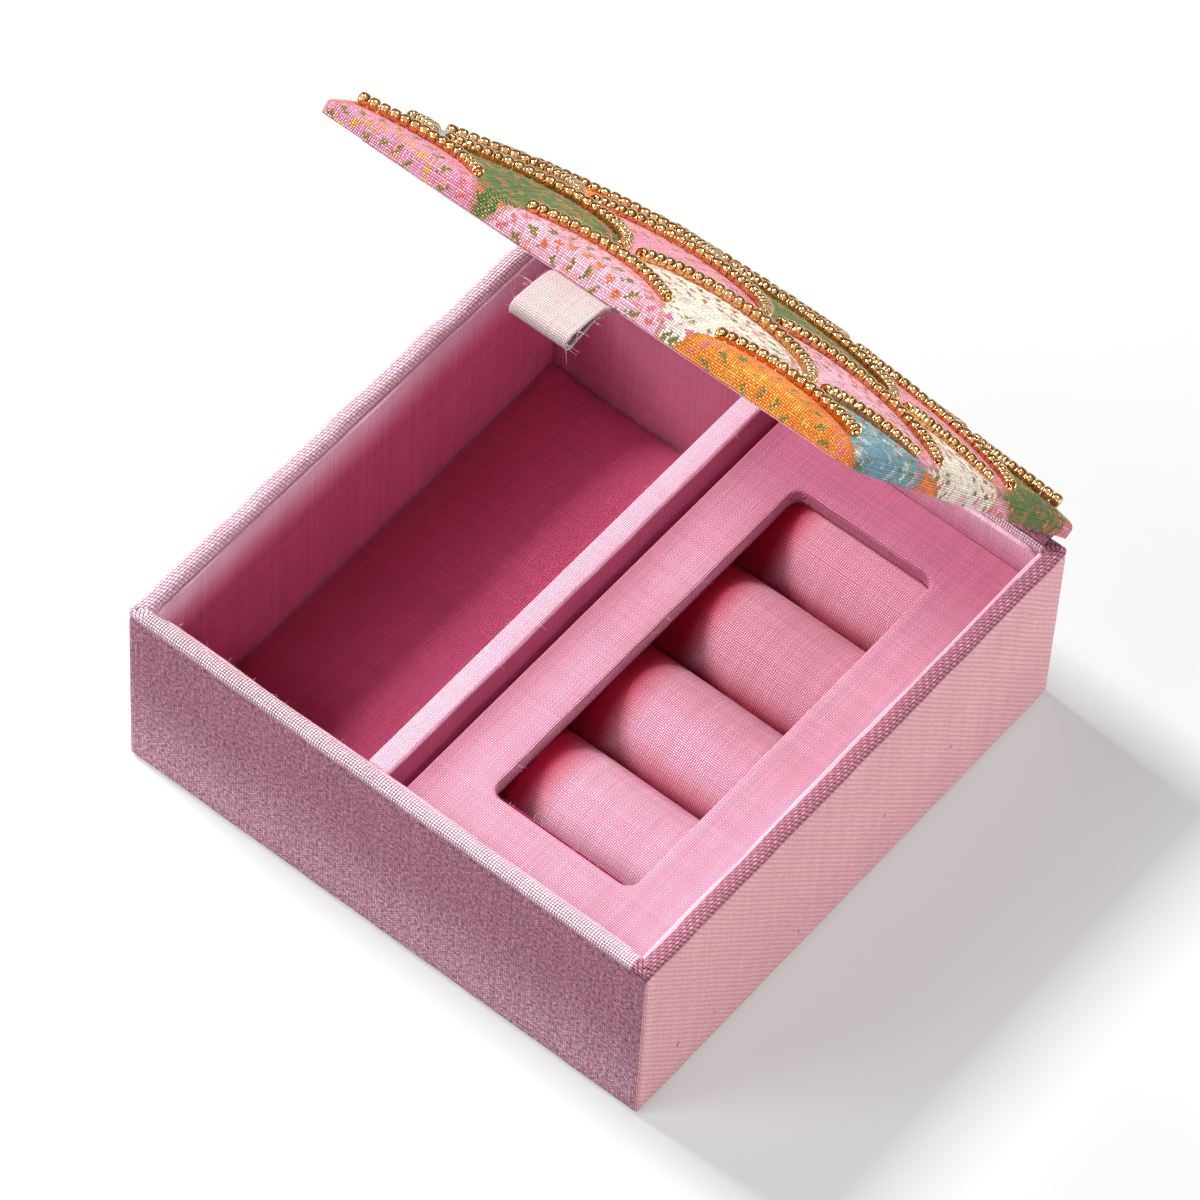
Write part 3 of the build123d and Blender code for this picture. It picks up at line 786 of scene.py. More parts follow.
def outer_wrap():
    """The linen in one sheet, its rim a little wavy and folded in at the corners."""
    stations = loop_stations(wrap_half, WRAP_CORNER, WRAP_STEP, WRAP_TURNS)
    core, normal, mitre, turn, length, around = stations
    outside, inside = wrap_profile()
    profile = np.concatenate([outside, inside])
    run = run_along(profile)
    crease = np.where(turn >= 0, np.exp(-(((turn - 0.5) / 0.16) ** 2)), 0)
    ease = np.where(turn >= 0, CORNER_EASE * np.sin(math.pi * turn), 0)
    phase = 2 * math.pi * length / around
    sway = MM * (RIM_SPREAD + sum(size * np.sin(n * phase + start) for size, n, start in RIM_WAVES))
    points = []
    for index, (inset, height) in enumerate(profile):
        shown = index < len(outside)
        on_rim = shown and height > wrap_high[2] - RIM_RADIUS
        eased = inset * (1 - ease * max(0, 1 - inset / CORNER_EASED))
        place = core + (normal if inset < WRAP_CORNER else mitre) * (WRAP_CORNER - eased)[:, None]
        swell = sway * (RIM_SWELL if on_rim else SIDE_SWELL) * shown
        place = place + normal * np.where(turn < 0, swell, 0)[:, None]
        level = np.full(len(core), height)
        if on_rim:
            level += RIM_LIFT * sway - RIM_CREASE * crease * np.clip(inset / RIM, 0, 1)
        points.append(np.column_stack([place, level]))
    u = np.append(length, around)
    v = np.append(run, run[-1] + WRAP_CLOTH)
    coords = np.stack(np.meshgrid(u, v), axis=2)
    piece = grid_piece("linen_wrap", np.array(points), coords, linen, True, True)
    wrap_finish(piece)
    dress(piece, "base", "outer_linen", "outer_wrap")


outer_wrap()

# Underside sheet
sheet_low, sheet_high = node_box("bottom_cover")
bottom = soft_box("bottom_sheet", sheet_low, sheet_high, 0.2 * MM, 3 * MM, underside)
dress(bottom, "base", "bottom_cloth", "bottom_cover")

# Liners: cloth-covered cards against the walls
LINER_BOW = 0.15
LINER_ROUND = 0.55 * MM
LINER_STEP = 2 * MM
LINER_CORNER = 3.2 * MM
LINER_REACH = 1.5 * MM


def liner(node, material):
    """One wall liner. It bows off its wall by a little, least at its ends and its foot."""
    low, high = node_box(node)
    thin = int(np.argmin(high - low))
    long = 1 - thin
    outward = 1 if low[thin] + high[thin] < 0 else -1
    if thin == 1:
        low = low - np.array([LINER_REACH, 0, 0])
        high = high + np.array([LINER_REACH, 0, 0])
    middle = (low + high) / 2
    half = (high - low) / 2

    def shape(points):
        share = (points[:, long] - middle[long]) / half[long]
        lift = (points[:, 2] - low[2]) / (high[2] - low[2])
        wave = np.sin(7.3 * share + 1.7) * 0.12 + np.sin(15.1 * share) * 0.05
        bow = LINER_BOW * (1 - share**2) * (0.4 + 0.6 * lift)
        points[:, thin] += outward * MM * (bow + wave * lift)
        points[:, 2] += 0.35 * MM * wave * lift
        if thin == 1:
            drop = np.clip(np.abs(share) * half[long] - half[long] + LINER_CORNER, 0, None)
            round_off = LINER_CORNER - np.sqrt(np.clip(LINER_CORNER**2 - drop**2, 0, None))
            points[:, 2] -= round_off * np.clip((lift - 0.6) / 0.4, 0, 1)
        return points

    piece = soft_box(node + "_cloth", low, high, LINER_ROUND, LINER_STEP, material, shape=shape)
    dress(piece, "base", "pink_lining", node)


for side in ("left", "right", "front"):
    liner(side + "_liner", well_lining_shaded)
liner("back_liner", back_lining_shaded)

# Divider: cloth over a board
divider_low, divider_high = node_box("divider_cover")


def divider_shape(points):
    """Small waves along the divider, most at its top."""
    lift = (points[:, 2] - divider_low[2]) / (divider_high[2] - divider_low[2])
    wave = np.sin(points[:, 1] / MM * 0.21) * 0.12 + np.sin(points[:, 1] / MM * 0.55 + 1) * 0.05
    points[:, 2] += MM * wave * (lift > 0.9)
    points[:, 0] += 0.5 * MM * wave * lift
    return points


divider = soft_box(
    "divider_cloth", divider_low, divider_high, 0.8 * MM, 1.5 * MM, pale_lining, shape=divider_shape,
)
dress(divider, "base", "pink_lining", "divider_cover")

# Floor pad: a skin puffed up over the card, pressed flat where it meets the liners and the divider
pad_low, pad_high = node_box("floor_pad")
PAD_EDGE = 1.8 * MM
PAD_SPREAD = 0.3 * MM
PAD_HELD = 0.1 * MM
PAD_PRESSURE = 6.0
PUFF_SLACK = 0.03


def floor_pad():
    """The cushion of the open compartment."""
    low = pad_low - np.array([PAD_SPREAD, PAD_SPREAD, 0])
    high = np.array([pad_high[0] + PAD_SPREAD, pad_high[1] + PAD_SPREAD, pad_low[2] + PAD_EDGE])
    piece = soft_box("floor_cushion", low, high, 0.8 * MM, 1.7 * MM, pad_lining_shaded)
    held = np.nonzero(points_of(piece)[:, 2] < low[2] + PAD_HELD)[0]
    puff(piece, held, PAD_PRESSURE, PUFF_SLACK)
    points = points_of(piece)
    lift = (pad_high[2] - low[2]) / (points[:, 2].max() - low[2])
    points[:, 2] = low[2] + np.clip(points[:, 2] - low[2], 0, None) * lift
    points[:, :2] = np.clip(points[:, :2], low[:2], high[:2])
    move_points(piece, points)
    dress(piece, "base", "pink_lining", "floor_pad")


floor_pad()

# Ring tray: frame with a window, rolls and bed
frame_low, frame_high = node_box("tray_frame_cover")
WINDOW_MARGIN = (14.3 * MM, 14.3 * MM, 12.8 * MM)
WINDOW_CORNER = 2.6 * MM
WINDOW_ROUND = 0.9 * MM
WINDOW_STEP = 1.2 * MM
WINDOW_TURNS = 7
FRAME_ROUND = 0.7 * MM
TRAY_GAP = 1.2 * MM
window_low = frame_low[:2] + np.array([WINDOW_MARGIN[0], WINDOW_MARGIN[1]])
window_high = frame_high[:2] - np.array([WINDOW_MARGIN[0], WINDOW_MARGIN[2]])
edge_low = frame_low[:2] + np.array([TRAY_GAP, 0])
edge_high = frame_high[:2]


def frame_edge(core, normal, mitre, turn):
    """The place on the frame's outer edge for each station round its window."""
    limits = np.where(normal + mitre > 0, edge_high, edge_low)
    outer = core.copy()
    for i, share in enumerate(turn):
        if share < 0:
            side = int(np.argmax(np.abs(normal[i])))
            outer[i, side] = limits[i, side]
        else:
            corner = np.where(mitre[i] > 0, edge_high, edge_low)
            first = np.argmax(np.abs(normal[i - round(share * (WINDOW_TURNS + 1))]))
            ends = [np.where(np.arange(2) == k, corner, core[i]) for k in (first, 1 - first)]
            outer[i] = ends[0] + (corner - ends[0]) * min(2 * share, 1)
            outer[i] += (ends[1] - corner) * max(2 * share - 1, 0)
    return outer


def tray_frame():
    """The frame's cloth: up the window's sides, over the top and down the outer edge."""
    middle = (window_low + window_high) / 2
    half = (window_high - window_low) / 2
    core, normal, mitre, turn = loop_stations(half, WINDOW_CORNER, WINDOW_STEP, WINDOW_TURNS)[:4]
    core = core + middle
    inner = core + normal * WINDOW_CORNER
    outer = frame_edge(core, normal, mitre, turn)
    low = frame_low[2]
    top = frame_high[2]
    rows = []
    uvs = []

    def ring(place, level, spread):
        rows.append(np.column_stack([place, np.full(len(place), level)]))
        uvs.append(spread)

    for level in np.linspace(low, top - WINDOW_ROUND, 4):
        ring(inner, level, inner - normal * (top - level))
    for c, s in arc(0, 90, 6)[1:]:
        step = inner + normal * WINDOW_ROUND * (1 - c)
        ring(step, top - WINDOW_ROUND * (1 - s), step)
    start = inner + normal * WINDOW_ROUND
    outward = np.sign(outer - (edge_low + edge_high) / 2)
    outward = np.where(np.isclose(outer, edge_low) | np.isclose(outer, edge_high), outward, 0)
    end = outer - outward * FRAME_ROUND
    for share in np.linspace(0, 1, 12)[1:]:
        step = start + (end - start) * share
        ring(step, top, step)
    for c, s in arc(90, 0, 5)[1:]:
        step = end + outward * FRAME_ROUND * c
        ring(step, top - FRAME_ROUND * (1 - s), step)
    ring(outer, low, outer + outward * (top - low))
    coords = np.array(uvs)
    coords = np.concatenate([coords, coords[:, :1]], axis=1)
    coords = np.concatenate([coords, coords[:1]], axis=0)
    piece = grid_piece("tray_frame_cloth", np.array(rows), coords, tray_lining_shaded, True, True)
    dress(piece, "base", "pink_lining", "tray_frame_cover", "tray_frame_board")


tray_frame()

ROLL_END = 2.0 * MM
ROLL_HELD = 0.6
ROLL_PRESSURE = 4.0
ROLL_SIDES = 80
ROLL_LENGTHS = 38
ROLL_TURN = math.radians(97)


def roll_skin():
    """One foam roll in its cloth, about its own middle: puffed up between its two sewn ends."""
    low, high = node_box("ring_roll_cover_1")
    radius = (high[2] - low[2]) / 2
    half = (high[0] - low[0]) / 2
    tip = [(half, 0.0), (half, radius * 0.4), (half, radius * 0.75)]
    tip += [(half - ROLL_END * (1 - c), radius - ROLL_END * (1 - s)) for c, s in arc(0, 90, 6)]
    body = [(x, radius) for x in np.linspace(half - ROLL_END, ROLL_END - half, ROLL_LENGTHS)[1:-1]]
    profile = tip + body + [(-x, r) for x, r in tip[::-1]]
    turns = np.linspace(0, 2 * math.pi, ROLL_SIDES + 1)
    rings = [[(x, r * math.sin(a), r * math.cos(a)) for a in turns[:-1]] for x, r in profile]
    coords = [[(x, a * radius) for a in turns] for x, r in profile]
    piece = grid_piece("ring_roll", np.array(rings), np.array(coords), roll_lining_shaded, False, True)
    held = np.nonzero(np.abs(points_of(piece)[:, 0]) > half - ROLL_HELD * ROLL_END)[0]
    puff(piece, held, ROLL_PRESSURE, PUFF_SLACK)
    points = points_of(piece)
    out = np.maximum(np.hypot(points[:, 1], points[:, 2]), TINY)
    points[:, 1:] *= np.minimum(1, radius / out)[:, None]
    points[:, 0] = np.clip(points[:, 0], -half, half)
    move_points(piece, points)
    bpy.context.scene.collection.objects.unlink(piece)
    return piece.data


def ring_roll(index, skin):
    """A copy of the roll in its place, turned so that no two show the same folds."""
    low, high = node_box(f"ring_roll_cover_{index}")
    mesh = skin.copy()
    turn = Matrix.Rotation(ROLL_TURN * index, 4, "X")
    if index % 2:
        turn = Matrix.Rotation(math.pi, 4, "Z") @ turn
    mesh.transform(Matrix.Translation((low + high) / 2) @ turn)
    piece = show(bpy.data.objects.new(f"ring_roll_{index}", mesh))
    dress(piece, "base", "pink_lining", f"ring_roll_cover_{index}", f"ring_roll_core_{index}")


roll_count = sum(name.startswith("ring_roll_cover_") for name in frame["nodes"])
skin = roll_skin()
for index in range(1, roll_count + 1):
    ring_roll(index, skin)

bed_low, bed_high = node_box("ring_bed")
bed = soft_box("ring_foam_bed", bed_low, bed_high, 0.8 * MM, 4 * MM, foam)
dress(bed, "base", "foam", "ring_bed")

# Lid: padded cover with its print, lining, hinge cloth, pull tab and beads
lid_low, lid_high = lid_box("lid_cover")
LID_EDGE = 5.0 * MM
LID_ROUND = 2.2 * MM
LID_STEP = 1.2 * MM
LID_END_ARCH = 0.6 * MM
LID_SQUARE = 0.8
LID_CORNER_DROP = 2.0 * MM
QUILT_PUFF = 0.35 * MM
QUILT_DIP = 0.45 * MM
QUILT_REACH = 7.0 * MM
QUILT_WIDTH = 2.4 * MM
LINING_SHOWN = 1.15 * MM
lid_edge = lid_low[2] + LID_EDGE
lid_top = np.array([lid_high[0], lid_high[1], lid_edge])


def scallop_edge(x, y):
    """Distance from places on the lid to the nearest line of beads, the front rows lying on top."""
    along = y - lid_low[1] - SCALLOP_FIRST
    row = np.ceil((along - SCALLOP_RADIUS) / SCALLOP_STEP)
    found = []
    for number in (row, row + 1):
        across = x - SCALLOP_SHIFT - (number % 2) * SCALLOP_WIDTH / 2
        across -= np.round(across / SCALLOP_WIDTH) * SCALLOP_WIDTH
        found.append(np.hypot(across, along - number * SCALLOP_STEP) - SCALLOP_RADIUS)
    front, behind = found
    return np.where(front < 0, -front, np.minimum(front, np.abs(behind)))


def square_foot(points):
    """Draw the round lower edge of the lid's cover out towards a square one, over the board's edge."""
    core = np.clip(points, lid_low + LID_ROUND, lid_top - LID_ROUND)
    push = points - core
    out = np.linalg.norm(push[:, :2], axis=1)
    down = np.clip(-push[:, 2], 0, None)
    grow = 1 + LID_SQUARE * (LID_ROUND / np.maximum(np.maximum(out, down), TINY) - 1)
    grow = np.where((down > 0) & (out > TINY), grow, 1)
    wider = np.minimum(out * grow, LID_ROUND) / np.maximum(out, TINY)
    points[:, :2] = core[:, :2] + push[:, :2] * wider[:, None]
    points[:, 2] = np.where(down > 0, core[:, 2] - np.minimum(down * grow, LID_ROUND), points[:, 2])
    return points


def lid_shape(points):
    """Crown the lid's cover, puff it up between the lines of beads and let its corners drop."""
    points = square_foot(points)
    middle = (lid_low + lid_high) / 2
    half = (lid_high - lid_low) / 2
    x = (points[:, 0] - middle[0]) / half[0]
    y = (points[:, 1] - middle[1]) / half[1]
    rise = lid_high[2] - lid_edge - LID_END_ARCH
    lift = np.clip((points[:, 2] - lid_low[2]) / LID_EDGE, 0, 1) ** 2
    arch = (LID_END_ARCH + rise * np.clip(1 - y**2, 0, 1)) * np.clip(1 - x**2, 0, 1)
    pull = 0.18 * np.sin(11 * x + 1.3) * np.abs(y) ** 6 + 0.15 * np.sin(13 * y + 0.4) * np.abs(x) ** 6
    seam = scallop_edge(points[:, 0], points[:, 1])
    quilt = QUILT_PUFF * (1 - np.exp(-((seam / QUILT_REACH) ** 2)))
    quilt -= QUILT_DIP * np.exp(-((seam / QUILT_WIDTH) ** 2))
    fade = np.clip(6 * (1 - np.maximum(np.abs(x), np.abs(y))), 0, 1)
    corner = LID_CORNER_DROP * np.abs(x) ** 7 * np.abs(y) ** 7
    points[:, 2] += lift * (arch + MM * pull + quilt * fade - corner)
    return points


print_cloth = printed_cloth("printed_cloth", lid_low[1] + SCALLOP_FIRST)
cover = soft_box(
    "lid_padded_cover", lid_low, lid_top, LID_ROUND, LID_STEP, print_cloth,
    shape=lid_shape, matrix=LID_MATRIX,
)
dress(cover, "lid", "printed_cloth", "lid_cover", "lid_pad")

lining_low, lining_high = lid_box("lid_lining_cloth")
lining_low[2] += LINING_SHOWN
lid_lining = soft_box(
    "lid_lining", lining_low, lining_high, 0.35 * MM, 3 * MM, lining, matrix=LID_MATRIX,
)
dress(lid_lining, "lid", "pink_lining", "lid_lining_cloth", "lid_lining_card")

HINGE_THICK = 0.4 * MM
HINGE_ABOVE = 0.15 * MM
HINGE_BEND = (0.1 * MM, 0.9 * MM)
HINGE_ON_RIM = (2.9 * MM, 1.9 * MM, 0.9 * MM)
HINGE_COLUMNS = 62


def hinge_cloth():
    """A linen strip from the back rim to the lid's underside."""
    low, high = lid_box("hinge_flap")
    middle = (low[2] + high[2]) / 2
    lid_part = [LID_MATRIX @ Vector((0, y, middle)) for y in np.linspace(0, low[1], 6)]
    rim_top = wrap_high[2] + HINGE_ABOVE
    start, end = [(0, HINGE.y, rim_top + rise) for rise in HINGE_BEND]
    base_part = [Vector((0, HINGE.y - y, rim_top)) for y in HINGE_ON_RIM]
    fold = [Vector((0, HINGE.y + HINGE_ABOVE, start[2]))]
    path = np.array(base_part + fold + lid_part)[:, 1:]
    points, coords, length = strip(low[0], high[0], HINGE_COLUMNS, path, HINGE_THICK)
    piece = grid_piece("hinge_cloth", points, coords, linen, False, True)
    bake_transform(piece)
    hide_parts("hinge_fold", "hinge_flap")


hinge_cloth()

# Pull tab: a ribbon whose two layers open into a loop, drawn in the lid's frame
tab_low, tab_high = lid_box("pull_tab")
TAB_THICK = 0.3 * MM
TAB_ROOT = 5.0 * MM
TAB_LIP = 0.4 * MM
TAB_REACH = 2.0 * MM
TAB_LENGTH = 12.0 * MM
TAB_LOOP = 1.8 * MM
TAB_UPPER = 0.2 * MM
TAB_LOWER = 0.55 * MM
TAB_COLUMNS = 28


def tab_path():
    """The ribbon's middle line from its upper root, round the loop and back, as y and z."""
    knee = np.array([lid_low[1] - TAB_REACH, lid_low[2] - TAB_UPPER])
    ahead = -np.array([math.cos(LID_TILT), math.sin(LID_TILT)])
    above = np.array([ahead[1], -ahead[0]])
    end = knee + ahead * (TAB_LENGTH - TAB_LOOP)
    held = (lid_low[1] + TAB_ROOT, lid_low[1] - TAB_LIP)
    upper = [np.array([y, lid_low[2] - TAB_UPPER]) for y in held]
    for share in np.linspace(0.05, 1, 9):
        rise = TAB_LOOP * (share**0.8 + 0.12 * math.sin(math.pi * share))
        upper.append(knee + (end - knee) * share + above * rise)
    bend = [end + TAB_LOOP * (above * c + ahead * s) for c, s in arc(20, 160, 7)]
    lower = []
    for share in np.linspace(1, 0.05, 9):
        lower.append(knee + (end - knee) * share - above * TAB_LOOP * share**1.3 * 0.95)
    tail = [np.array([y, lid_low[2] - TAB_LOWER]) for y in held[::-1]]
    return np.array(upper + bend + lower + tail)


def pull_tab():
    """The ribbon, with its two cut edges closed."""
    path = tab_path()
    points, coords, length = strip(tab_low[0], tab_high[0], TAB_COLUMNS, path, TAB_THICK)
    faces, uvs = grid_faces(points, coords, close_columns=True)
    count = len(path)
    for column in (0, TAB_COLUMNS - 1):
        for i in range(count - 1):
            quad = [i, i + 1, 2 * count - 2 - i, 2 * count - 1 - i]
            faces.append([column * 2 * count + q for q in quad])
            uvs.append([coords[column, q] for q in quad])
    piece = build("pull_ribbon", points.reshape(-1, 3), faces, uvs, ribbon, matrix=LID_MATRIX)
    return dress(piece, "lid", "ribbon", "pull_tab")


tab = pull_tab()

# Beads: round seed beads with a thread hole, one where each solid of a bead row is.
# The profile goes from the hole round the outside, as shares of the radius and of half the length.
BEAD_RADIUS = 1.38 * MM
BEAD_HALF = 1.04 * MM
BEAD_HOLE = 0.42 * MM
BEAD_SINK = 0.25 * MM
BEAD_SIDES = 14
BEAD_PROFILE = [(BEAD_HOLE / BEAD_RADIUS, -0.62), (0.6, -0.99), (0.86, -0.88), (0.98, -0.5), (1.0, 0.0)]
BEAD_PROFILE += [(r, -z) for r, z in BEAD_PROFILE[-2::-1]]


def bead_places(node):
    """Middle and thread direction of each solid of a bead row."""
    work = bmesh.new()
    work.from_mesh(frame["nodes"][node].data)
    bmesh.ops.remove_doubles(work, verts=work.verts, dist=1e-6)
    left = dict.fromkeys(work.faces)  # kept in the mesh's order, so that each run finds the same
    places = []
    while left:
        island = [left.popitem()[0]]
        for face in island:
            for edge in face.edges:
                for other in edge.link_faces:
                    if other in left:
                        del left[other]
                        island.append(other)
        areas = {}
        for face in island:
            key = tuple(round(abs(n), 2) for n in face.normal)
            areas.setdefault(key, []).append(face)
        widest = max(areas.values(), key=lambda faces: sum(f.calc_area() for f in faces))
        axis = widest[0].normal.copy()
        points = dict.fromkeys(v for face in island for v in face.verts)
        middle = sum((v.co for v in points), Vector()) / len(points)
        places.append((middle, axis))
    work.free()
    return sorted(places, key=lambda place: tuple(place[0]))


def bead_row(index, random):
    """One row of beads, each a little different in size and lean."""
    node = f"bead_row_{index}"
    lid_up = (LID_MATRIX.to_3x3() @ Vector((0, 0, 1))).normalized()
    local = []
    for r, z in BEAD_PROFILE:
        for a in np.linspace(0, 2 * math.pi, BEAD_SIDES + 1)[:-1]:
            out = r * BEAD_RADIUS
            local.append(Vector((out * math.cos(a), out * math.sin(a), z * BEAD_HALF)))
    count = len(BEAD_PROFILE)
    corners = np.zeros((count + 1, BEAD_SIDES + 1, 2))
    around = grid_faces(np.empty((count, BEAD_SIDES)), corners, True, True)[0]
    verts = []
    faces = []
    for middle, axis in bead_places(node):
        side = axis.cross(lid_up).normalized()
        up = side.cross(axis)
        size = 1 + random.uniform(-0.05, 0.04)
        swing = Matrix.Rotation(random.uniform(-0.1, 0.1), 3, up)
        tip = Matrix.Rotation(random.uniform(-0.07, 0.07), 3, side)
        basis = swing @ tip @ Matrix((side, up, axis)).transposed()
        spot = middle - up * BEAD_SINK
        faces += [[len(verts) + i for i in face] for face in around]
        verts += [spot + basis @ (point * size) for point in local]
    uvs = [[(0, 0), (1, 0), (1, 1), (0, 1)]] * len(faces)
    piece = build(f"beads_{index}", np.array(verts), faces, uvs, beads_gold)
    dress(piece, "lid", "gold_bead", node)


random = np.random.default_rng(7)
bead_rows = sum(name.startswith("bead_row_") for name in frame["nodes"])
for index in range(1, bead_rows + 1):
    bead_row(index, random)

# Stray fibres along the cut and rubbed edges
FIBRE_RADIUS = 0.035 * MM
FIBRE_STEPS = 7
FIBRE_RISE = 0.45 * MM
FIBRE_ANGLES = (0, 2.1, 4.2)
TAB_CLEAR = 10.0 * MM
TAB_FIBRES = 13


def fibres(name, starts, body, slot, random, size=1.0, ceiling=1.0):
    """Short curved hairs. Each start is a place and the direction the hair mostly leaves in.

    No hair rises above the ceiling, where the closed lid would press it flat.
    """
    verts = []
    faces = []
    for place, lean in starts:
        length = size * random.uniform(0.7, 2.6) * MM
        way = Vector(lean) + Vector(random.normal(0, 0.45, 3))
        bend = Vector(random.normal(0, 0.55, 3))
        spot = Vector(place)
        first = len(verts)
        for step in range(FIBRE_STEPS):
            share = step / (FIBRE_STEPS - 1)
            heading = (way + bend * share * 1.6).normalized()
            side = heading.orthogonal().normalized()
            other = heading.cross(side)
            radius = size * FIBRE_RADIUS * (1 - 0.6 * share)
            for a in FIBRE_ANGLES:
                verts.append(spot + (side * math.cos(a) + other * math.sin(a)) * radius)
            spot = spot + heading * length / (FIBRE_STEPS - 1)
            spot.z = min(spot.z, ceiling)
        for low in range(first, len(verts) - 3, 3):
            for a in range(3):
                b = (a + 1) % 3
                faces.append([low + a, low + b, low + 3 + b, low + 3 + a])
        faces.append([first, first + 1, first + 2])
        faces.append([len(verts) - 1, len(verts) - 2, len(verts) - 3])
    uvs = [[(0, 0)] * len(face) for face in faces]
    dress(build(name, np.array(verts), faces, uvs, fibre_pale), body, slot)


def edge_starts(edges, random):
    """Random places on lines. Each line has its two ends, the count of its places and their lean."""
    starts = []
    for low, high, count, lean in edges:
        low = np.array(low)
        reach = np.array(high) - low
        starts += [(low + reach * random.random(), lean) for _ in range(count)]
    return starts


def stray_fibres(random):
    """Hairs of the rim, apart from where the pull tab lies, then of the tray, the divider and the tab."""
    top = wrap_high[2]
    x, y = wrap_half - RIM + 0.4 * MM
    z = top - 0.3 * MM
    edges = []
    for side in (-1, 1):
        edges.append(((side * x, -y, z), (side * TAB_CLEAR, -y, z), 16, (0, 0.6, 0.5)))
    for side in (1, -1):
        edges.append(((side * x, -y, z), (side * x, y, z), 22, (-0.6 * side, 0, 0.5)))
    starts = edge_starts(edges, random)
    fibres("rim_fibres", starts, "base", "outer_linen", random, 1.0, top + FIBRE_RISE)

    left, front = window_low
    right, back = window_high
    lip = frame_high[2] - 0.25 * MM
    ridge = divider_high[2] - 0.2 * MM
    edges = [
        ((left, front, lip), (left, back, lip), 14, (0.7, 0, 0.2)),
        ((left, front, lip), (right, front, lip), 10, (0, 0.7, 0.2)),
        ((right, front, lip), (right, back, lip), 10, (-0.7, 0, 0.2)),
    ]
    for x, lean in ((divider_low[0] + 0.4 * MM, -0.6), (divider_high[0] - 0.4 * MM, 0.6)):
        edges.append(((x, divider_low[1], ridge), (x, divider_high[1], ridge), 12, (lean, 0, 0.5)))
    fibres("tray_fibres", edge_starts(edges, random), "base", "pink_lining", random)

    points = points_of(tab)
    starts = []
    for x, lean in ((points[:, 0].min(), -0.8), (points[:, 0].max(), 0.8)):
        spots = points[np.isclose(points[:, 0], x)]
        starts += [(spots[random.integers(len(spots))], (lean, 0, 0)) for _ in range(TAB_FIBRES)]
    fibres("tab_fibres", starts, "lid", "ribbon", random, 1.3)


stray_fibres(np.random.default_rng(11))

# Finish of the CAD pieces that stay: boards, cards and the tray's rails, the rails in dark cloth for
# painted shade
for name, node in frame["nodes"].items():
    node.data.materials.clear()
    node.data.materials.append(rail_shade_cloth if "rail" in name else greyboard)

# Camera: where it stands, its turn about the object, and its lens
CAMERA_PLACE = (0.529483, -0.731021, 1.322907)
CAMERA_AZIMUTH = math.radians(35.904)
CAMERA_ELEVATION = math.radians(54.816)
CAMERA_ROLL = math.radians(3.971)
CAMERA_LENS = 238.9
CAMERA_SENSOR = 36.0


def camera():
    """The photograph's view."""
    away = Vector((
        math.sin(CAMERA_AZIMUTH) * math.cos(CAMERA_ELEVATION),
        -math.cos(CAMERA_AZIMUTH) * math.cos(CAMERA_ELEVATION),
        math.sin(CAMERA_ELEVATION),
    ))
    level = Vector((math.cos(CAMERA_AZIMUTH), math.sin(CAMERA_AZIMUTH), 0))
    raised = away.cross(level)
    right = level * math.cos(CAMERA_ROLL) + raised * math.sin(CAMERA_ROLL)
    up = raised * math.cos(CAMERA_ROLL) - level * math.sin(CAMERA_ROLL)
    eye = show(bpy.data.objects.new("camera", bpy.data.cameras.new("camera")))
    eye.data.lens = CAMERA_LENS
    eye.data.sensor_width = CAMERA_SENSOR
    eye.data.clip_start = 0.1
    turn = Matrix((right, up, away)).transposed().to_4x4()
    eye.matrix_world = Matrix.Translation(CAMERA_PLACE) @ turn
    bpy.context.scene.camera = eye


# Floor and background
FLOOR_REACH = 3.0
FLOOR_GLOW = 0.42
FLOOR_FADE = (0.1, 0.36)
FLOOR_BOUNCE = rgb(190, 190, 190)
FLOOR_PAPER = (rgb(238, 247, 246), rgb(242, 250, 249))
WHITE = (1, 1, 1, 1)
STUDIO_PLACES = (0.0, 0.5, 0.85)
STUDIO_LIGHT = ((0.14, 0.122, 0.126), (0.11, 0.094, 0.098), (0.1, 0.085, 0.09))
STUDIO_MIRROR = ((0.4, 0.36, 0.32), (0.06, 0.05, 0.045), (1.0, 0.98, 0.95))


def floor():
    """Pale paper that turns plain white away from the box. Less of its light comes back up."""
    shader = Shader("floor")
    place = shader.place()
    rays = shader.node("LightPath").outputs
    paper = shader.mix(shader.noise(place, 40.0, 3.0), *FLOOR_PAPER)
    shader.set(Base_Color=shader.mix(rays["Is Camera Ray"], FLOOR_BOUNCE, paper))
    shader.set(Roughness=0.9, Specular_IOR_Level=0.1)
    glow = shader.node("Emission", {"Color": WHITE, "Strength": 1.0})
    away = shader.node("VectorMath", {0: place}, operation="LENGTH").outputs["Value"]
    fade = {0: away, 1: FLOOR_FADE[0], 2: FLOOR_FADE[1], 3: FLOOR_GLOW, 4: 1.0}
    glowing = shader.node("MapRange", fade, interpolation_type="SMOOTHSTEP").outputs[0]
    seen = shader.math("MAXIMUM", rays["Is Camera Ray"], rays["Is Glossy Ray"])
    seen = shader.math("MAXIMUM", seen, rays["Is Transmission Ray"])
    both = {0: seen * glowing, 1: shader.surface.outputs[0], 2: glow.outputs[0]}
    blend = shader.node("MixShader", both)
    shader.put(shader.tree.nodes["Material Output"].inputs[0], blend.outputs[0])
    mesh = bpy.data.meshes.new("floor")
    corners = [(FLOOR_REACH * x, FLOOR_REACH * y, 0) for x, y in ((-1, -1), (1, -1), (1, 1), (-1, 1))]
    mesh.from_pydata(corners, [], [(0, 1, 2, 3)])
    mesh.materials.append(shader.material)
    ground = show(bpy.data.objects.new("floor", mesh))
    return ground


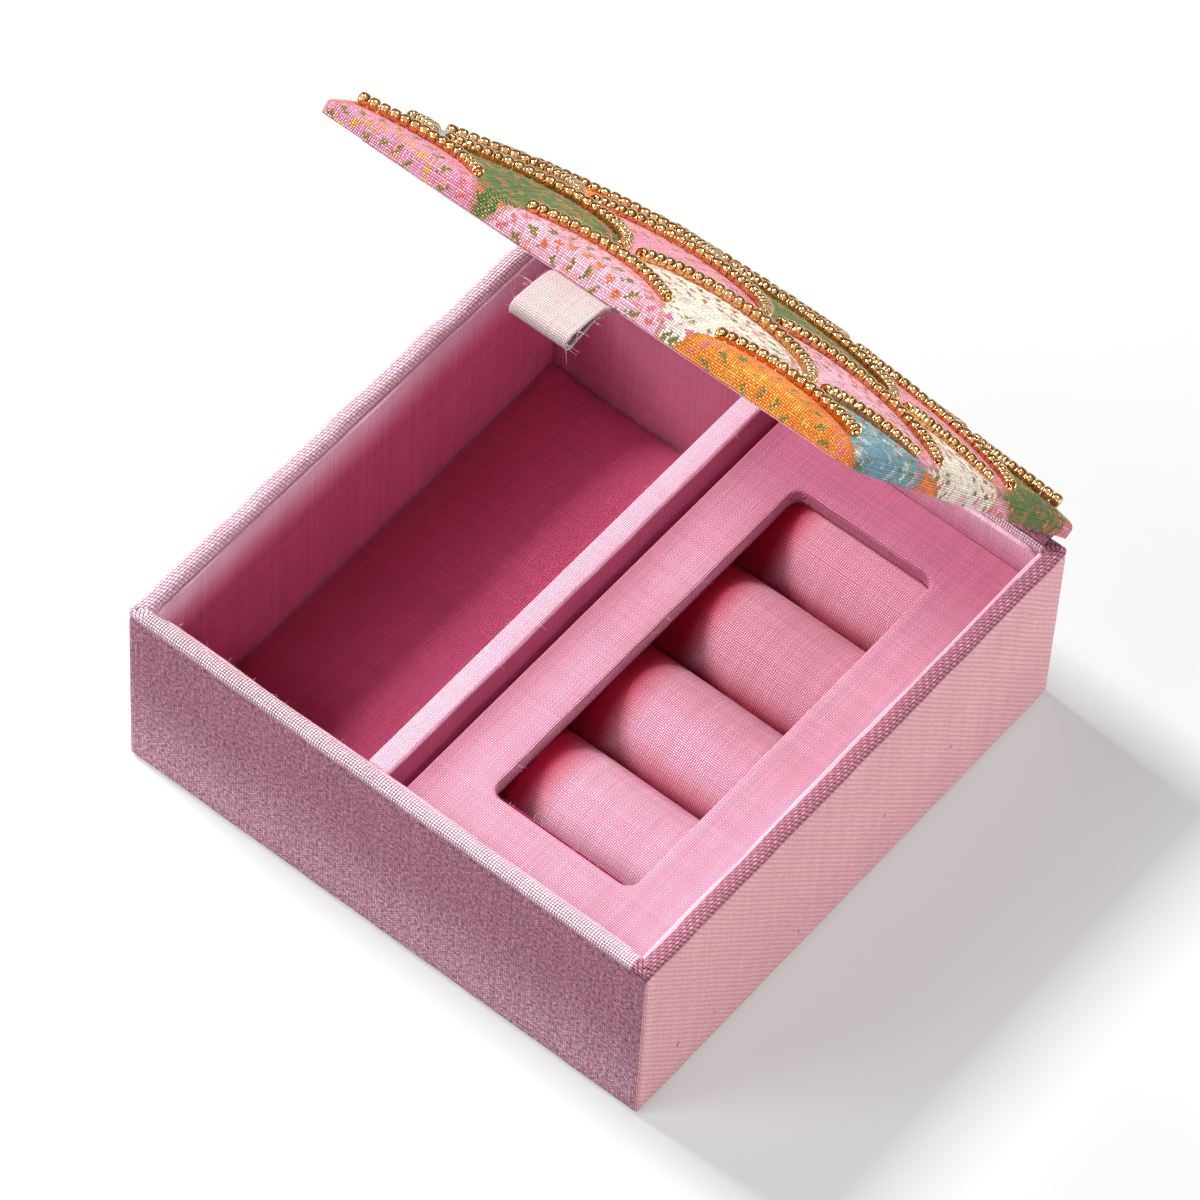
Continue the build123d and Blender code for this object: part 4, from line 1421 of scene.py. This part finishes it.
def world():
    """White to the camera, a dim studio to cloth, and one of pale and dark bands in the beads."""
    studio = bpy.data.worlds.new("studio")
    bpy.context.scene.world = studio
    studio.use_nodes = True
    nodes = Nodes(studio.node_tree)
    rays = nodes.node("LightPath").outputs
    height = nodes.parts(nodes.node("TexCoord").outputs["Generated"])[2]

    def dome(colours):
        return nodes.ramp(height, [(*colour, 1) for colour in colours], STUDIO_PLACES)

    light = nodes.mix(rays["Is Glossy Ray"], dome(STUDIO_LIGHT), dome(STUDIO_MIRROR))
    light = nodes.mix(rays["Is Camera Ray"], light, WHITE)
    nodes.put(nodes.tree.nodes["Background"].inputs[0], light)


# Lamps
def hang(name, light, place, target, power, colour):
    """Hang a lamp in its place, turned to its target."""
    light.energy = power
    light.color = colour
    holder = show(bpy.data.objects.new(name, light))
    holder.location = place
    holder.rotation_euler = (Vector(target) - Vector(place)).to_track_quat("-Z", "Y").to_euler()
    return holder


def lamp(name, place, target, size, power, colour=(1, 1, 1)):
    """A soft box of light."""
    light = bpy.data.lights.new(name, "AREA")
    light.shape = "RECTANGLE"
    light.size, light.size_y = size
    holder = hang(name, light, place, target, power, colour)
    holder.visible_camera = False
    return holder


def snoot(name, place, target, angle, power, colour, soft=0.12):
    """A narrow, soft-edged spot for one part of the box."""
    light = bpy.data.lights.new(name, "SPOT")
    light.spot_size = math.radians(angle)
    light.spot_blend = 1.0
    light.shadow_soft_size = soft
    return hang(name, light, place, target, power, colour)


def link_light(name, lamps, kind, state, pieces):
    """Say which pieces lamps light, with kind receiver, or are shaded by, with kind blocker."""
    group = bpy.data.collections.new(name)
    for piece in pieces:
        group.objects.link(piece)
    for entry in group.collection_objects:
        entry.light_linking.link_state = state
    for holder in lamps:
        setattr(holder.light_linking, kind + "_collection", group)


camera()
ground = floor()
world()
BOX_MIDDLE = (0, 0, 0.03)
key = lamp("key", (-0.93, 0.0, 1.03), BOX_MIDDLE, (0.3, 0.3), 25.0, (1.0, 0.985, 0.96))
lamp("front", (-0.6, -0.9, 0.9), BOX_MIDDLE, (0.6, 0.6), 8.4)
beside = [
    lamp("side", (0.58, 0.16, 0.12), (0.03, 0.03, 0.04), (0.4, 0.14), 2.3),
    snoot("lid_snoot", (0.1, 0.75, 1.2), (0, 0.02, 0.11), 13.0, 80.0, (1.0, 0.98, 0.95)),
    snoot("tray_snoot", (0.45, -0.5, 0.8), (0.012, 0.015, 0.04), 10.5, 16.0, (1.0, 0.72, 0.82)),
    snoot(
        "tray_front_snoot", (0.06, -0.06, 1.1), (0.03, -0.055, 0.04), 7.0, 15.0, (0.9, 1.0, 1.05),
        soft=0.03,
    ),
]
meshes = [piece for piece in bpy.data.objects if piece.type == "MESH"]
let_by = [piece for piece in meshes if piece.name.startswith(("lid_", "beads_", "divider_"))]
link_light("all_but_floor", beside, "receiver", "EXCLUDE", [ground])
link_light("not_lid_or_divider", [key], "blocker", "EXCLUDE", let_by)
bpy.context.scene.view_settings.view_transform = "Standard"
